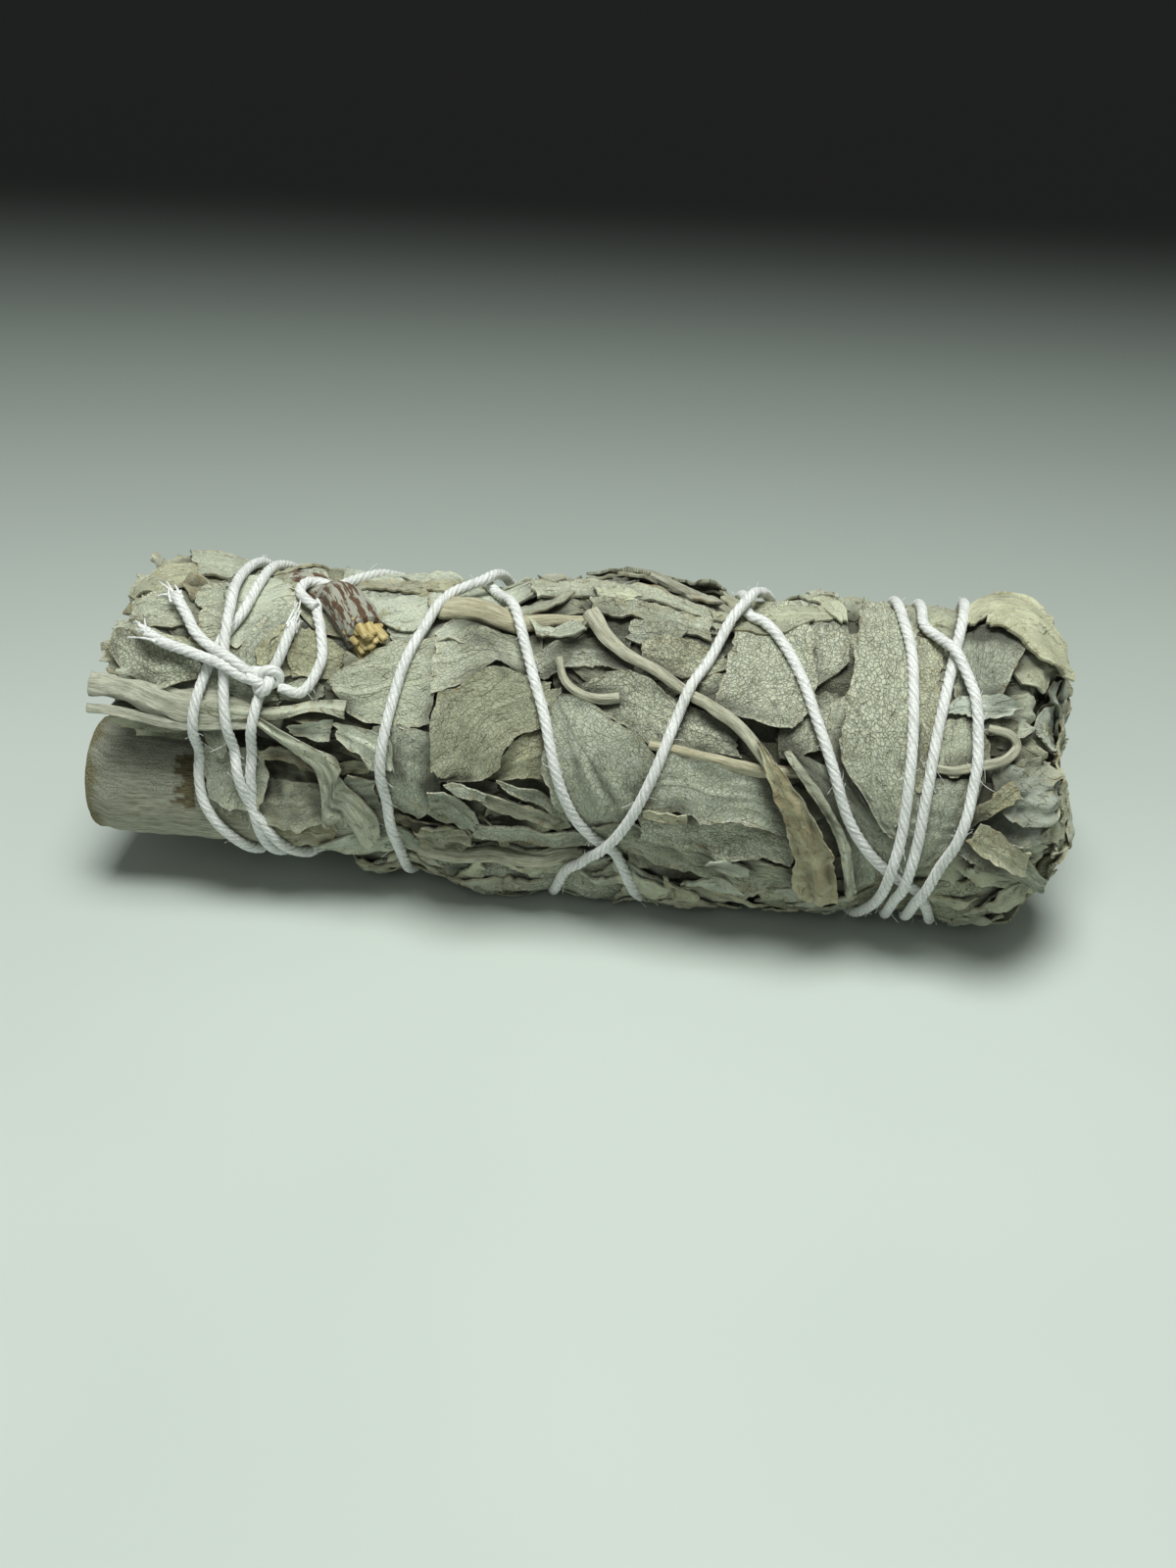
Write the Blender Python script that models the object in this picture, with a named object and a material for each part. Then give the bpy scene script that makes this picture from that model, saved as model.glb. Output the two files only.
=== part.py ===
# Dried white sage bunch: leafy sprigs pressed together and bound with one cotton string.
# It lies on its flattened underside. +X runs from the cut stems to the leaf tips, -Y is the
# front and +Z is up. A place on the bunch is (t, angle, height): t is the distance along the
# bunch, which turns in over the rounded tip end, the angle is 0 at the front and 90 degrees
# at the top, and the height is measured outwards from the pressed leaf surface.
import math

import bmesh
import bpy
import numpy as np

mm = 0.001

# Size of the bunch
axis_height = 15.7 * mm
left_end = -42.0 * mm
dome_start = 36.0 * mm
dome_depth = 10.5 * mm
radius_stations = np.array([-50.0, -31.0, -5.0, 14.0, 33.0, 50.0]) * mm
radius_values = np.array([14.3, 14.2, 14.6, 14.4, 15.2, 15.4]) * mm
belly = 2.1 * mm
floor_sink = 0.35 * mm

# Layers, counted outwards from the pressed leaf surface
core_depth = 1.5 * mm
blade_thickness = 0.62 * mm
clearance = 0.33 * mm
wrap_top = clearance + blade_thickness

# String
string_radius = 0.65 * mm
string_height = wrap_top + 0.38 * mm + string_radius
string_floor = 1.1 * mm
string_step = 3.7 * mm
string_sides = 6
string_dent = 1.0 * mm
string_dent_width = 3.5 * mm

# Sprigs: five round the outside and one in the middle
outer_sprigs = 5
first_sprig_angle = math.radians(-30.0)
sprig_inner_radius = 6.6 * mm
middle_radius = 5.7 * mm
sprig_gap = 0.22 * mm
leaf_counts = (6, 8, 6, 6, 5)

# The one thick stem at the lower front
thick_stem_radius = 6.1 * mm
thick_stem_offset = 8.6 * mm
thick_stem_angle = math.radians(-33.0)
thick_stem_left = -49.0 * mm
thick_stem_right = -18.5 * mm

# The string's route, one list for each turn, as (t in mm, angle in degrees, lift in mm). Every
# turn goes down the front and up behind. The lift carries the string over an earlier turn.
string_turns = [
    [
        (-30.4, 41, 0), (-30.8, 31, 0), (-31.6, 14, 0), (-31.9, -8, 0), (-31.3, -28, 0), (-29.6, -60, 0),
        (-28.6, -95, 0), (-29.0, -135, 0), (-30.8, -180, 0), (-32.2, -225, 0), (-33.2, -250, 0),
    ],
    [
        (-33.3, 86, 0), (-33.7, 68, 0), (-35.2, 52, 0), (-36.6, 32, 0), (-37.3, 10, 0), (-37.2, -8, 0),
        (-36.0, -20, 0), (-33.6, -36, 0), (-31.6, -65, 0), (-31.2, -100, 0), (-32.2, -140, 0),
        (-33.8, -190, 0), (-35.2, -235, 0),
    ],
    [
        (-35.5, 100, 0), (-35.2, 84, 0.5), (-34.4, 65, 1.7), (-34.2, 50, 0.8), (-33.8, 30, 0),
        (-33.4, 14, 0.2), (-32.9, 2, 1.2), (-32.2, -9, 1.7), (-30.9, -19, 1.3), (-29.5, -32, 0.5),
        (-25.4, -65, 0), (-21.8, -115, 0), (-18.9, -165, 0), (-15.9, -200, 0), (-13.2, -228, 0),
        (-11.5, -247, 0),
    ],
    [
        (-9.9, 98, 0), (-7.4, 82, 0), (-5.6, 65, 0), (-4.2, 50, 0), (-2.8, 36, 0), (-1.2, 14, 0),
        (0.4, -4, 0), (2.5, -19, 0), (5.0, -38, 0), (8.0, -90, 0), (10.8, -150, 0), (13.0, -215, 0),
        (14.6, -250, 0),
    ],
    [
        (15.2, 90, 0), (17.0, 84, 0), (18.9, 74, 0), (20.6, 61, 0), (22.4, 44, 0), (24.4, 26, 0),
        (26.2, 8, 0), (28.4, -6, 0), (30.8, -18, 0), (33.5, -31, 0), (35.2, -55, 0), (36.0, -110, 0),
        (36.2, -180, 0), (36.1, -235, 0),
    ],
    [
        (35.8, 97, 0), (35.2, 80, 0), (34.4, 60, 0), (33.7, 40, 0), (33.2, 20, 0), (32.8, 0, 0.3),
        (32.4, -10, 1.2), (31.9, -21, 1.7), (31.3, -34, 1.1), (30.8, -60, 0), (30.2, -110, 0),
        (30.6, -170, 0), (31.4, -220, 0), (31.9, -250, 0),
    ],
    [
        (32.1, 92, 0), (33.6, 82, 0.6), (35.1, 71, 1.7), (36.4, 61, 0.6), (37.3, 50, 0), (37.7, 34, 0),
        (37.3, 18, 0), (36.4, 4, 0), (35.2, -8, 0.6), (34.2, -20, 1.6), (33.4, -29, 1.7), (33.0, -42, 1.0),
        (32.8, -60, 0), (32.6, -100, 0), (32.6, -150, 0.2), (31.8, -170, 1.4), (30.8, -186, 1.7),
        (29.8, -202, 1.4), (29.2, -222, 0.2), (29.4, -248, 0),
    ],
    [
        (30.0, 94, 0), (30.9, 75, 0), (31.3, 55, 0), (31.5, 35, 0), (31.4, 15, 0), (31.2, 2, 0.2),
        (30.8, -7, 1.3), (30.4, -16, 1.7), (30.0, -27, 1.5), (29.3, -42, 0.6), (27.6, -60, 0),
        (24.4, -95, 0), (20.8, -150, 0), (17.8, -210, 0.1), (16.4, -243, 0.8),
    ],
    [
        (15.4, 94, 1.7), (13.7, 81, 0.9), (12.2, 66, 0), (10.7, 52, 0), (9.6, 39, 0), (8.2, 22, 0),
        (6.0, 2, 0.1), (4.2, -11, 1.0), (2.5, -20, 1.7), (0.8, -29, 1.0), (-1.5, -42, 0.1),
        (-4.5, -90, 0), (-7.2, -150, 0), (-9.2, -215, 0.1), (-10.0, -245, 1.2),
    ],
    [
        (-10.8, 101, 1.7), (-12.4, 92, 1.2), (-13.9, 84, 0.2), (-15.4, 70, 0), (-17.0, 51, 0),
        (-17.9, 32, 0), (-18.6, 10, 0), (-18.4, -10, 0), (-18.0, -34, 0), (-17.6, -70, 0),
        (-17.3, -115, 0), (-17.5, -150, 0.3), (-18.1, -172, 1.8), (-19.2, -195, 0.6), (-20.8, -222, 0),
        (-22.1, -243, 0),
    ],
    [
        (-23.0, 108, 0), (-24.8, 96, 0), (-26.3, 86, 0), (-26.6, 75, 0), (-25.6, 64, 0), (-25.0, 51, 0),
        (-26.4, 39, 0), (-28.7, 40, 0.2),
    ],
]
string_route = [
    (t, angle - 360 * turn, lift) for turn, row in enumerate(string_turns) for t, angle, lift in row
]
knot_at = (-30.1, 42)
# Loose ends from the knot, and the hitch near the top, as (t, angle, lift)
loose_ends = [
    [
        (-30.1, 42, 0.3), (-31.6, 44, 0.9), (-33.6, 48, 1.7), (-35.4, 51, 1.7), (-37.2, 56, 0.8),
        (-38.6, 63, 0.4), (-40.3, 71, 0.6),
    ],
    [
        (-30.1, 41, 0.3), (-32.0, 42, 1.0), (-33.8, 45, 1.7), (-35.8, 47, 1.8), (-37.8, 49, 1.0),
        (-39.9, 51, 0.6), (-41.8, 54, 0.8),
    ],
    [(-30.1, 43, 0.3), (-29.2, 46, 0.4), (-28.4, 53, 0.3), (-27.8, 62, 0.8)],
    [(-26.6, 74, 0.5), (-28.4, 79, 0.5), (-28.2, 87, 0.5), (-26.4, 88, 0.8), (-25.4, 78, 0.8)],
]

# Smaller stems lying in the leaves: sides, flatness and stations of
# (t in mm, angle in degrees, radius in mm, height in mm)
stem_gap = 0.3 * mm
dark_stems = ("broken_twig", "dark_top_stem")
lying_stems = {
    "split_stem_upper": (
        8,
        0.45,
        [
            (-46.6, 37.5, 1.4, 0.35), (-40, 37, 1.4, 0.35), (-34, 33, 1.3, 0.35), (-28, 28, 1.2, 0.4),
            (-25, 24, 0.9, 0.4),
        ],
    ),
    "split_stem_lower": (
        8,
        0.45,
        [(-46.9, 24, 1.4, 0.35), (-40, 24, 1.4, 0.35), (-34, 21.5, 1.3, 0.35), (-30.5, 20.5, 1.1, 0.35)],
    ),
    "broken_twig": (
        10,
        0.55,
        [(-27.2, 84, 2.2, -0.4), (-24.6, 77, 2.8, -0.7), (-21.8, 67, 3.0, -0.7), (-19.4, 58, 2.9, -0.1)],
    ),
    "side_twig": (
        8,
        0.9,
        [(-13, 77, 1.2, -0.3), (-7, 73, 1.1, -0.3), (-3, 72, 1.1, -0.2), (1.0, 71, 1.2, 0.3)],
    ),
    "curled_leaf_petiole": (
        6,
        1.0,
        [
            (1.8, 73, 0.6, 0.1), (3.4, 64, 0.6, 0.2), (6.8, 55, 0.65, 0.2), (10.7, 48, 0.65, 0.2),
            (14.1, 39, 0.65, 0.2), (17.0, 32, 0.65, 0.2), (19.6, 23, 0.7, 0.2), (21.6, 12, 0.75, 0.3),
            (23.2, 2, 0.8, 0.6),
        ],
    ),
    "long_petiole": (
        6,
        1.0,
        [
            (10.3, 25, 0.55, 0.1), (14.9, 24, 0.6, 0.5), (19.6, 23, 0.6, 1.95), (22.4, 24, 0.6, 0.9),
            (24.4, 25, 0.55, 0.2),
        ],
    ),
    "petiole_hook": (
        6,
        1.0,
        [
            (35.2, 29, 0.6, 0.2), (37.9, 30, 0.65, 0.2), (40.6, 36, 0.65, 0.4), (39.9, 42, 0.6, 0.4),
            (37.4, 46, 0.5, 0.2),
        ],
    ),
    "small_petiole": (
        6,
        1.0,
        [(-2.0, 56, 0.5, 0.2), (-0.8, 49, 0.5, 0.3), (1.2, 44, 0.5, 0.3), (4.4, 44, 0.45, 0.2)],
    ),
    "low_stem": (
        8,
        0.9,
        [(-16.6, -32, 0.9, -0.5), (-10, -34, 0.9, -0.5), (-4, -35, 0.9, -0.5), (2.6, -35, 0.8, -0.5)],
    ),
    "dark_top_stem": (8, 0.9, [(3.0, 101, 0.9, -0.4), (8.0, 98, 0.9, -0.3), (13.4, 99, 0.9, -0.4)]),
}

# Separate leaves wrapped over the sprigs, as outlines of (t in mm, angle in degrees)
wrap_outlines = {
    "leaf_big_netted": [(25.9, 88), (31.6, 93), (33.0, 60), (31.6, 28), (30.0, 12), (27.0, 20), (25.6, 48)],
    "leaf_torn_upper": [(14.9, 92), (14.0, 66), (15.0, 51), (18.0, 50), (20.5, 42), (24.6, 56), (24.9, 92)],
    "leaf_pale_left": [(-23.4, 43), (-22.9, 33), (-18.0, 28), (-13.2, 31), (-13.0, 46), (-18.0, 48)],
    "leaf_green_midrib": [(-6.6, 58), (-6.0, 42), (-9.5, 24), (-15.0, 18), (-12.0, 29), (-11.4, 48)],
    "leaf_grey_lower": [(-22.6, 25), (-23.6, 5), (-22.0, -14), (-17.6, -8), (-16.0, 8), (-17.0, 24)],
    "leaf_centre_band": [(-4.2, 40), (-5.6, 16), (-3.0, -12), (2.4, -22), (4.6, 4), (2.0, 30)],
    "leaf_curled_brown": [(22.0, 12), (21.6, -12), (24.4, -27), (27.4, -18), (26.3, 4), (24.6, 12)],
    "leaf_mid_lower": [(8.0, 12), (8.6, -10), (13.0, -26), (18.0, -14), (18.4, 6), (13.6, 16)],
    "leaf_left_torn": [(-45.4, 66), (-46.0, 50), (-42.4, 42), (-39.4, 45), (-38.6, 62), (-41.0, 72)],
    "leaf_tip_front": [(40.4, 20), (41.0, -8), (45.0, -14), (48.4, -2), (47.6, 18), (44.0, 26)],
    "leaf_tip_top": [(40.6, 96), (41.2, 62), (45.2, 52), (49.0, 66), (48.6, 92), (44.6, 104)],
    "leaf_back_left": [(-24.0, 205), (-28.4, 176), (-27.6, 150), (-20.4, 148), (-16.0, 174), (-18.0, 204)],
    "leaf_back_middle": [(1.4, 212), (-2.6, 180), (-2.0, 146), (5.4, 140), (9.4, 172), (8.4, 206)],
    "leaf_back_right": [(19.6, 214), (16.6, 186), (18.4, 152), (24.6, 144), (28.0, 178), (25.6, 210)],
    "leaf_back_tip": [(40.2, 222), (40.4, 182), (44.6, 166), (48.6, 186), (48.0, 216), (44.0, 230)],
    "leaf_top_middle": [(0.4, 134), (-1.2, 120), (2.6, 108), (9.6, 109), (12.0, 120), (7.6, 136)],
}

# Those of them that the string crosses
pressed_wraps = (
    "leaf_big_netted", "leaf_torn_upper", "leaf_centre_band", "leaf_curled_brown", "leaf_mid_lower",
    "leaf_grey_lower", "leaf_back_left", "leaf_back_middle", "leaf_back_right",
)

sage_green = (0.34, 0.37, 0.29, 1.0)
sage_pale = (0.42, 0.46, 0.35, 1.0)
sage_dark = (0.20, 0.22, 0.15, 1.0)
pale_wood = (0.45, 0.43, 0.31, 1.0)
dark_bark = (0.17, 0.16, 0.10, 1.0)
white_cotton = (0.85, 0.86, 0.84, 1.0)


def clear_scene():
    for thing in list(bpy.data.objects):
        bpy.data.objects.remove(thing)


def material(name, color, roughness=0.9):
    made = bpy.data.materials.get(name) or bpy.data.materials.new(name)
    made.use_nodes = True
    shader = made.node_tree.nodes["Principled BSDF"]
    shader.inputs["Base Color"].default_value = color
    shader.inputs["Roughness"].default_value = roughness
    shader.inputs["Metallic"].default_value = 0.0
    return made


# Curves


def smooth_curve(points, per_span):
    """Catmull-Rom curve through the points, with per_span samples in each span."""
    p = np.array(points, float)
    p = np.vstack([2 * p[0] - p[1], p, 2 * p[-1] - p[-2]])
    u = (np.arange(per_span) / per_span)[:, None]
    spans = []
    for a, b, c, d in zip(p[:-3], p[1:-2], p[2:-1], p[3:]):
        linear = (c - a) * u
        square = (2 * a - 5 * b + 4 * c - d) * u**2
        cube = (3 * b - a - 3 * c + d) * u**3
        spans.append(0.5 * (2 * b + linear + square + cube))
    return np.vstack(spans + [p[-2:-1]])


def route_to_si(points):
    points = np.array(points, float)
    points *= mm
    points[:, 1] *= math.pi / 180 / mm
    return points


route_samples = smooth_curve(route_to_si(string_route), 6)


# Surface of the bunch


def underside(angle):
    """1 on the underside, fading to 0 on the sides."""
    off = np.abs((angle + math.pi / 2 + math.pi) % (2 * math.pi) - math.pi)
    share = np.clip((math.radians(62) - off) / math.radians(32), 0, 1)
    return share * share * (3 - 2 * share)


def dent(t, angle):
    """How far the string presses the leaves in at a place."""
    turn = (angle[..., None] - route_samples[:, 1] + math.pi) % (2 * math.pi) - math.pi
    away = (t[..., None] - route_samples[:, 0]) ** 2 + (15 * mm * turn) ** 2
    return string_dent * np.exp(-away.min(axis=-1) / string_dent_width**2)


def body_radius(t, angle):
    base = np.interp(np.minimum(t, dome_start), radius_stations, radius_values)
    lumps = 1 + 0.016 * np.sin(3 * angle + 40 * t) + 0.010 * np.sin(5 * angle - 90 * t)
    base = base * lumps + belly * underside(angle)
    down = np.cos(angle + math.pi / 2)
    flat = np.where(down > 0.2, (axis_height + floor_sink) / np.maximum(down, 0.2), 1.0)
    return np.minimum(base - dent(t, angle), flat)


def place(t, angle, height):
    """A tube whose tip end closes in a quarter ellipse, leaving a small hole round the axis."""
    t, angle, height = np.broadcast_arrays(t, angle, height)
    t, angle, height = t.astype(float), angle.astype(float), height.astype(float)
    radius = body_radius(t, angle)
    quarter = 0.5 * math.pi * math.sqrt((dome_depth**2 + radius_values[-1] ** 2) / 2)
    bend = np.clip((t - dome_start) / quarter, 0.0, 0.84) * math.pi / 2
    across, along = radius * np.sin(bend), dome_depth * np.cos(bend)
    length = np.hypot(across, along)
    out_x = np.where(bend > 0, across / length, 0.0)
    out_r = np.where(bend > 0, along / length, 1.0)
    x = np.minimum(t, dome_start) + dome_depth * np.sin(bend) + height * out_x
    r = radius * np.cos(bend) + height * out_r
    return np.stack([x, -r * np.cos(angle), axis_height + r * np.sin(angle)], axis=-1)


# Meshes and Booleans


def new_object(name, vertices, faces, look):
    mesh = bpy.data.meshes.new(name)
    mesh.from_pydata([tuple(v) for v in vertices], [], faces)
    mesh.materials.append(look)
    made = bpy.data.objects.new(name, mesh)
    bpy.context.scene.collection.objects.link(made)
    shape = bmesh.new()
    shape.from_mesh(mesh)
    bmesh.ops.triangulate(shape, faces=shape.faces[:])
    bmesh.ops.recalc_face_normals(shape, faces=shape.faces[:])
    if shape.calc_volume(signed=True) < 0:
        bmesh.ops.reverse_faces(shape, faces=shape.faces[:])
    shape.to_mesh(mesh)
    shape.free()
    return made


def combine(thing, others, operation):
    """One Boolean with a collection of helpers, applied, after which the helpers are removed."""
    if not others:
        return
    helpers = bpy.data.collections.new("helpers")
    bpy.context.scene.collection.children.link(helpers)
    for other in others:
        for owner in list(other.users_collection):
            owner.objects.unlink(other)
        helpers.objects.link(other)
    step = thing.modifiers.new("join", "BOOLEAN")
    step.operation = operation
    step.operand_type = "COLLECTION"
    step.collection = helpers
    step.solver = "MANIFOLD"
    bpy.context.view_layer.update()
    graph = bpy.context.evaluated_depsgraph_get()
    mesh = bpy.data.meshes.new_from_object(thing.evaluated_get(graph))
    thing.modifiers.clear()
    thing.data = mesh
    for other in others:
        bpy.data.objects.remove(other)
    bpy.data.collections.remove(helpers)


def keep_largest(thing):
    """Drops the loose scraps that a Boolean left."""
    shape = bmesh.new()
    shape.from_mesh(thing.data)
    bmesh.ops.triangulate(shape, faces=shape.faces[:])
    unseen = set(shape.verts)
    islands = []
    while unseen:
        stack = [unseen.pop()]
        island = []
        while stack:
            vertex = stack.pop()
            island.append(vertex)
            for edge in vertex.link_edges:
                other = edge.other_vert(vertex)
                if other in unseen:
                    unseen.remove(other)
                    stack.append(other)
        islands.append(island)
    islands.sort(key=len, reverse=True)
    for island in islands[1:]:
        bmesh.ops.delete(shape, geom=island, context="VERTS")
    shape.to_mesh(thing.data)
    shape.free()


def tube(name, points, radii, sides, look, flat=1.0):
    """A closed tube along the points. Its section is turned to the bunch's axis, and flat thins it."""
    points = np.asarray(points, float)
    radii = np.broadcast_to(radii, len(points))
    tangent = np.gradient(points, axis=0)
    tangent /= np.linalg.norm(tangent, axis=1)[:, None]
    outward = points - np.array([0.0, 0.0, axis_height])
    outward[:, 0] = 0.0
    outward -= (outward * tangent).sum(1)[:, None] * tangent
    outward /= np.linalg.norm(outward, axis=1)[:, None]
    sideways = np.cross(tangent, outward)
    turn = (np.arange(sides) + 0.5) * 2 * math.pi / sides
    ring = points[:, None] + radii[:, None, None] * (
        flat * np.sin(turn)[None, :, None] * outward[:, None]
        + np.cos(turn)[None, :, None] * sideways[:, None]
    )
    vertices = ring.reshape(-1, 3)
    faces = [tuple(range(sides)), tuple(range(len(vertices) - 1, len(vertices) - sides - 1, -1))]
    for i in range(len(points) - 1):
        for j in range(sides):
            k = (j + 1) % sides
            faces.append((i * sides + j, i * sides + k, (i + 1) * sides + k, (i + 1) * sides + j))
    return new_object(name, vertices, faces, look)


def ball(name, middle, size, look):
    """A coarse closed ellipsoid."""
    shape = bmesh.new()
    bmesh.ops.create_icosphere(shape, subdivisions=2, radius=1.0)
    vertices = [np.array(v.co) * size + middle for v in shape.verts]
    faces = [tuple(v.index for v in face.verts) for face in shape.faces]
    shape.free()
    return new_object(name, vertices, faces, look)


# Leaf blades


def lance_outline(length, width, slant, count, tear, rng):
    """A lance-shaped outline about its middle, as (along, across), with a torn and waved edge."""
    turn = np.arange(count) * 2 * math.pi / count
    along = 0.5 * length * np.cos(turn) * (1 - 0.4 * tear * rng.random(count))
    across = 0.5 * width * np.sin(turn) * (1 - 0.2 * np.cos(turn) ** 2)
    across = across * (1 - tear * rng.random(count))
    return np.stack(
        [
            along * math.cos(slant) - across * math.sin(slant),
            along * math.sin(slant) + across * math.cos(slant),
        ],
        axis=1,
    )


def polygon_outline(corners, step, tear, rng):
    """The polygon's edge at equal steps, with each point drawn in by a seeded part of tear."""
    corners = route_to_si(corners)
    middle = corners.mean(axis=0)
    closed = np.vstack([corners, corners[:1]])
    scale = np.array([1.0, 15 * mm])
    gaps = np.linalg.norm(np.diff(closed, axis=0) * scale, axis=1)
    run = np.concatenate([[0.0], np.cumsum(gaps)])
    count = max(10, int(round(run[-1] / step)))
    at = np.arange(count) * run[-1] / count
    edge = np.stack([np.interp(at, run, closed[:, 0]), np.interp(at, run, closed[:, 1])], axis=1)
    pull = 1 - tear * rng.random(count)[:, None]
    return middle, middle + (edge - middle) * pull


def blade(name, outline, middle, heights, look, squash=None, thickness=blade_thickness):
    """A thin closed leaf over the (t, angle) outline: rings from the middle out, alike on both faces.
    heights gives the height of the outer face on each ring, for each point of the outline."""
    count, rings = len(outline), len(heights)
    share = (np.arange(rings) + 1.0) / rings
    grid = middle + share[:, None, None] * (outline - middle)[None]
    centre = np.array(middle, float)
    if squash is not None:
        grid[..., 1] = squash(grid[..., 0], grid[..., 1])
        centre[1] = squash(centre[:1], centre[1:])[0]
    top = place(grid[..., 0], grid[..., 1], heights).reshape(-1, 3)
    low = place(grid[..., 0], grid[..., 1], heights - thickness).reshape(-1, 3)
    crown = heights[0].mean()
    top_middle = place(centre[:1], centre[1:], np.array([crown]))
    low_middle = place(centre[:1], centre[1:], np.array([crown - thickness]))
    n = len(top)
    faces = []
    for j in range(count):
        k = (j + 1) % count
        faces.append((2 * n, j, k))
        faces.append((2 * n + 1, n + k, n + j))
        for i in range(rings - 1):
            a, b = i * count + j, i * count + k
            c, d = a + count, b + count
            faces += [(a, c, d), (a, d, b), (n + a, n + d, n + c), (n + a, n + b, n + d)]
        a, b = (rings - 1) * count + j, (rings - 1) * count + k
        faces += [(a, n + a, n + b), (a, n + b, b)]
    return new_object(name, np.vstack([top, low, top_middle, low_middle]), faces, look)


# Leafy sprigs


def bundle_twist(t):
    """The sprigs lie at a slight, wandering slant to the axis."""
    return math.radians(6.0) * t / (50 * mm) + math.radians(4.0) * np.sin(t / (9.5 * mm))


def sprig_squash(middle_angle):
    """A function that draws angles into the sprig's own sector without folding anything over."""
    half = math.pi / outer_sprigs - sprig_gap / radius_values[0]

    def squash(t, angle):
        middle = middle_angle + bundle_twist(t)
        off = (angle - middle) / half
        over = np.maximum(np.abs(off) - 0.7, 0.0)
        drawn = np.minimum(np.abs(off), 0.7) + 0.3 * np.tanh(over / 0.3)
        return middle + half * np.sign(off) * drawn

    return squash


def sprig_wad(name, middle_angle, end_t, look):
    """The pressed inner leaves of one outer sprig: a wedge of the bunch with a lumpy outside."""
    half = math.pi / outer_sprigs - sprig_gap / radius_values[0]
    dome = dome_start + np.array([4.5, 8.5, 12.5]) * mm
    count = max(4, int((dome_start - end_t) / (9 * mm)))
    stations = np.concatenate([np.linspace(end_t, dome_start, count), dome])
    across = np.linspace(-0.97, 0.97, 6) * half
    rings = []
    for number, t in enumerate(stations):
        angles = middle_angle + bundle_twist(t) + across
        depth = core_depth + 0.25 * mm * np.sin(9 * angles + 3 * number) - 0.55 * mm * underside(angles)
        outer = place(np.full(6, t), angles, -depth)
        inner_angles = angles[[5, 3, 2, 0]]
        x = np.full(4, outer[:, 0].mean())
        y = -sprig_inner_radius * np.cos(inner_angles)
        z = axis_height + sprig_inner_radius * np.sin(inner_angles)
        rings.append(np.vstack([outer, np.stack([x, y, z], axis=1)]))
    return loft(name, rings, look)


def loft(name, rings, look):
    """A closed body through rings of as many points each."""
    ring = len(rings[0])
    last = len(rings) * ring
    faces = [tuple(range(ring)), tuple(range(last - 1, last - ring - 1, -1))]
    for i in range(len(rings) - 1):
        for j in range(ring):
            k = (j + 1) % ring
            faces.append((i * ring + j, i * ring + k, (i + 1) * ring + k, (i + 1) * ring + j))
    return new_object(name, np.vstack(rings), faces, look)


def polar(x, radius, angle):
    return np.array([x, -radius * math.cos(angle), axis_height + radius * math.sin(angle)])


def stem_end(name, x, radius_at, angle, thickness, look, sides=8):
    """A cut stem that starts inside the wad and ends left of it, a little bent."""
    points = [
        polar(x + 9 * mm, radius_at - 0.4 * mm, angle),
        polar(x + 4 * mm, radius_at, angle + 0.02),
        polar(x, radius_at + 0.3 * mm, angle + 0.05),
    ]
    return tube(name, points, np.array([0.9, 1.0, 0.97]) * thickness, sides, look)


def outer_sprig(number, look):
    rng = np.random.default_rng(43 + number)
    middle_angle = first_sprig_angle + number * 2 * math.pi / outer_sprigs
    end_t = -12 * mm if number == 0 else left_end + (0.0, 0.0, -1.5, 0.8, -0.6)[number] * mm
    name = f"sprig_{number + 1}"
    wad = sprig_wad(name, middle_angle, end_t, look)
    squash = sprig_squash(middle_angle)
    pieces = []
    starts = np.linspace(end_t + 4 * mm, dome_start + 5 * mm, leaf_counts[number])
    starts = np.append(starts, dome_start + 11.5 * mm)
    for index, t in enumerate(starts):
        side = (-0.30, 0.32)[index % 2] + 0.08 * rng.uniform(-1, 1)
        half_sector = math.pi / outer_sprigs
        middle = np.array([t, middle_angle + float(bundle_twist(t)) + side * half_sector])
        length = rng.uniform(19, 23) * mm
        width = rng.uniform(9.0, 11.5) * mm
        if t > dome_start:
            length, width = 14 * mm, 9 * mm
        slant = rng.uniform(-0.30, 0.30)
        outline = lance_outline(length, width, slant, 10, 0.16, rng)
        outline = middle + outline / np.array([1.0, 15 * mm])
        edge = rng.uniform(-0.2 if number == 4 else -0.4, 0.0, 10) * mm
        beyond = np.clip((outline[:, 0] - 39 * mm) / (8 * mm), 0, 1)
        edge = edge + beyond * rng.uniform(0.3, 1.6) * mm
        heights = np.stack([np.full(10, (-0.5 if number == 4 else -0.95) * mm), edge])
        pieces.append(blade(f"{name}_leaf_{index}", outline, middle, heights, look, squash))
    if number:
        for offset, radius_at, thickness in ((-0.22, 10.4, 1.5), (0.30, 11.2, 1.1)):
            reach = end_t - rng.uniform(1.4, 3.6) * mm
            angle = middle_angle + float(bundle_twist(end_t)) + offset
            pieces.append(stem_end(f"{name}_stem", reach, radius_at * mm, angle, thickness * mm, look))
    combine(wad, pieces, "UNION")
    keep_largest(wad)
    return wad


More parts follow.
